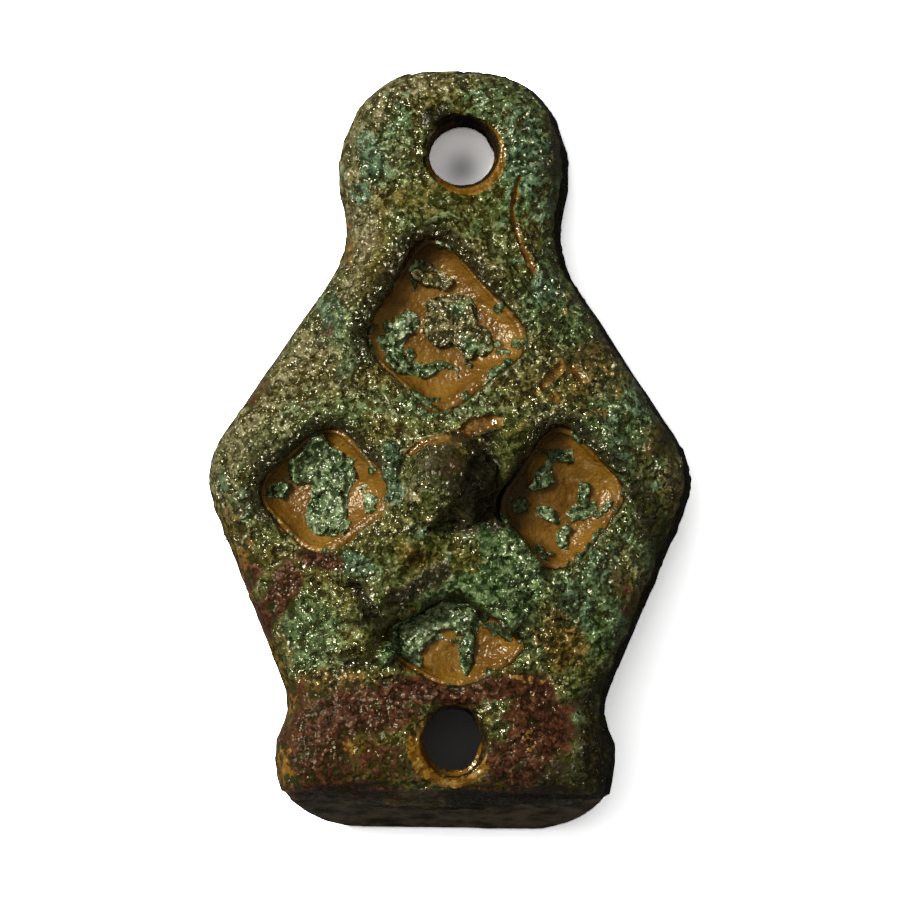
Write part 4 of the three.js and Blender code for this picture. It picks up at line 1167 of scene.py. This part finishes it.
# %% Scale the pieces back and attach them
pieces.append((casting, "mount_casting", "patina_metal"))
for piece, node, slot in pieces:
    rescale(piece, 1 / MM_PER_M)
    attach(piece, "root")
    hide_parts(node)
rescale(grains, 1 / MM_PER_M)
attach(grains, "root")
print("pieces:", len(pieces) + 1)

# %% [markdown]
# ## Table and light
#
# The picture has a white table, a key lamp at the upper left with a broad soft lamp round it,
# and a weak one at the right. The table is exposed past white, so only the darkest part of the
# shadow shows, close to the mount. To the eye it is a bright floor, but it gives back less
# light than it shows, and the underside of the mount stays dark. Under the apex hole the seen
# colour of the table is darkened as painted shade. Through the foot hole the picture shows
# dark grey and no white table, so a dark pad lies under the foot.

# %% The table and the pad
# Grey levels of the table: as it is seen, in gloss and in bounced light
TABLE_SHOWN = 4.8
TABLE_GLOSS = 0.12
TABLE_BOUNCE = 0.30
TABLE_HALF = 1.5
# Painted shade in the table's colour, seen through the apex hole: its middle, its reach and its share of
# light
EYE_SHADE_PLACE = (0.0005, 0.0167, 0.0)
EYE_SHADE_REACH = 0.0023
EYE_SHADE = 0.26
# The pad: its grey, its two half sizes and its middle
PAD_GREY = 0.34
PAD_HALF = (0.0062, 0.0026)
PAD_MIDDLE = (0.0003, -0.0166, 0.00005)


def grey(level):
    return (level, level, level)


def table_material():
    material, tree, spot = new_material("white table")
    path = add_node(tree, "ShaderNodeLightPath").outputs
    mirrored = maths(tree, "MAXIMUM", path["Is Glossy Ray"], path["Is Transmission Ray"])
    # Painted shade: the seen table darkens towards the spot under the apex hole
    shown = add_node(tree, "ShaderNodeMapRange", {
        "Value": vector_maths(tree, "DISTANCE", spot, EYE_SHADE_PLACE),
        "From Max": EYE_SHADE_REACH, "To Min": TABLE_SHOWN * EYE_SHADE, "To Max": TABLE_SHOWN,
    }, interpolation_type="SMOOTHSTEP")
    seen, gloss, bounced = (
        add_node(tree, "ShaderNodeBsdfDiffuse", {"Color": colour}).outputs[0]
        for colour in (shown.outputs["Result"], grey(TABLE_GLOSS), grey(TABLE_BOUNCE))
    )
    first = add_node(tree, "ShaderNodeMixShader", {0: mirrored, 1: seen, 2: gloss}).outputs[0]
    inputs = {0: path["Is Diffuse Ray"], 1: first, 2: bounced}
    second = add_node(tree, "ShaderNodeMixShader", inputs).outputs[0]
    tree.nodes.remove(tree.nodes["Principled BSDF"])
    set_input(tree, tree.nodes["Material Output"].inputs["Surface"], second)
    return material


def flat_piece(name, half_sizes, middle, material):
    mesh = bpy.data.meshes.new(name)
    across, up, height = middle
    corners = ((-1, -1), (1, -1), (1, 1), (-1, 1))
    mesh.from_pydata(
        [(across + i * half_sizes[0], up + j * half_sizes[1], height) for i, j in corners],
        [], [(0, 1, 2, 3)],
    )
    mesh.materials.append(material)
    link(bpy.data.objects.new(name, mesh))


flat_piece("table", (TABLE_HALF, TABLE_HALF), (0, 0, 0), table_material())
pad_material, tree, place = new_material("dark pad finish")
dress(tree, {"Base Color": grey(PAD_GREY), "Roughness": 0.9})
flat_piece("dark_pad", PAD_HALF, PAD_MIDDLE, pad_material)

# %% Lamps and world
# name: (strength, size of the lamp in degrees, height over the table, direction it comes from)
LAMPS = {
    "key lamp": (3.60, 17, 38, 149),
    "soft lamp": (0.70, 70, 60, 120),
    "weak lamp": (0.12, 40, 50, -10),
}
LAMP_DISTANCE = 0.5
WORLD_LEVEL = 0.10
for name, (strength, size, height, direction) in LAMPS.items():
    lamp_data = bpy.data.lights.new(name, "SUN")
    lamp_data.energy = strength
    lamp_data.angle = math.radians(size)
    lamp = link(bpy.data.objects.new(name, lamp_data))
    lamp.rotation_euler = (math.radians(90 - height), 0, math.radians(direction + 90))
    lamp.location = (0, 0, LAMP_DISTANCE)
    lamp.visible_glossy = name == "key lamp"

world = bpy.data.worlds.new("studio")
bpy.context.scene.world = world
world.use_nodes = True
around = world.node_tree.nodes["Background"]
around.inputs["Color"].default_value = (1, 1, 1, 1)
around.inputs["Strength"].default_value = WORLD_LEVEL
level = WORLD_LEVEL + sum(
    strength * math.sin(math.radians(height)) / math.pi
    for strength, size, height, direction in LAMPS.values()
)
print("light on the open table:", round(level, 2), "of white")

# %% [markdown]
# ## The view

# The looks must not make the mount bigger.

# %% The view and the last call
bpy.context.scene.view_settings.view_transform = "Standard"
bpy.context.view_layer.update()
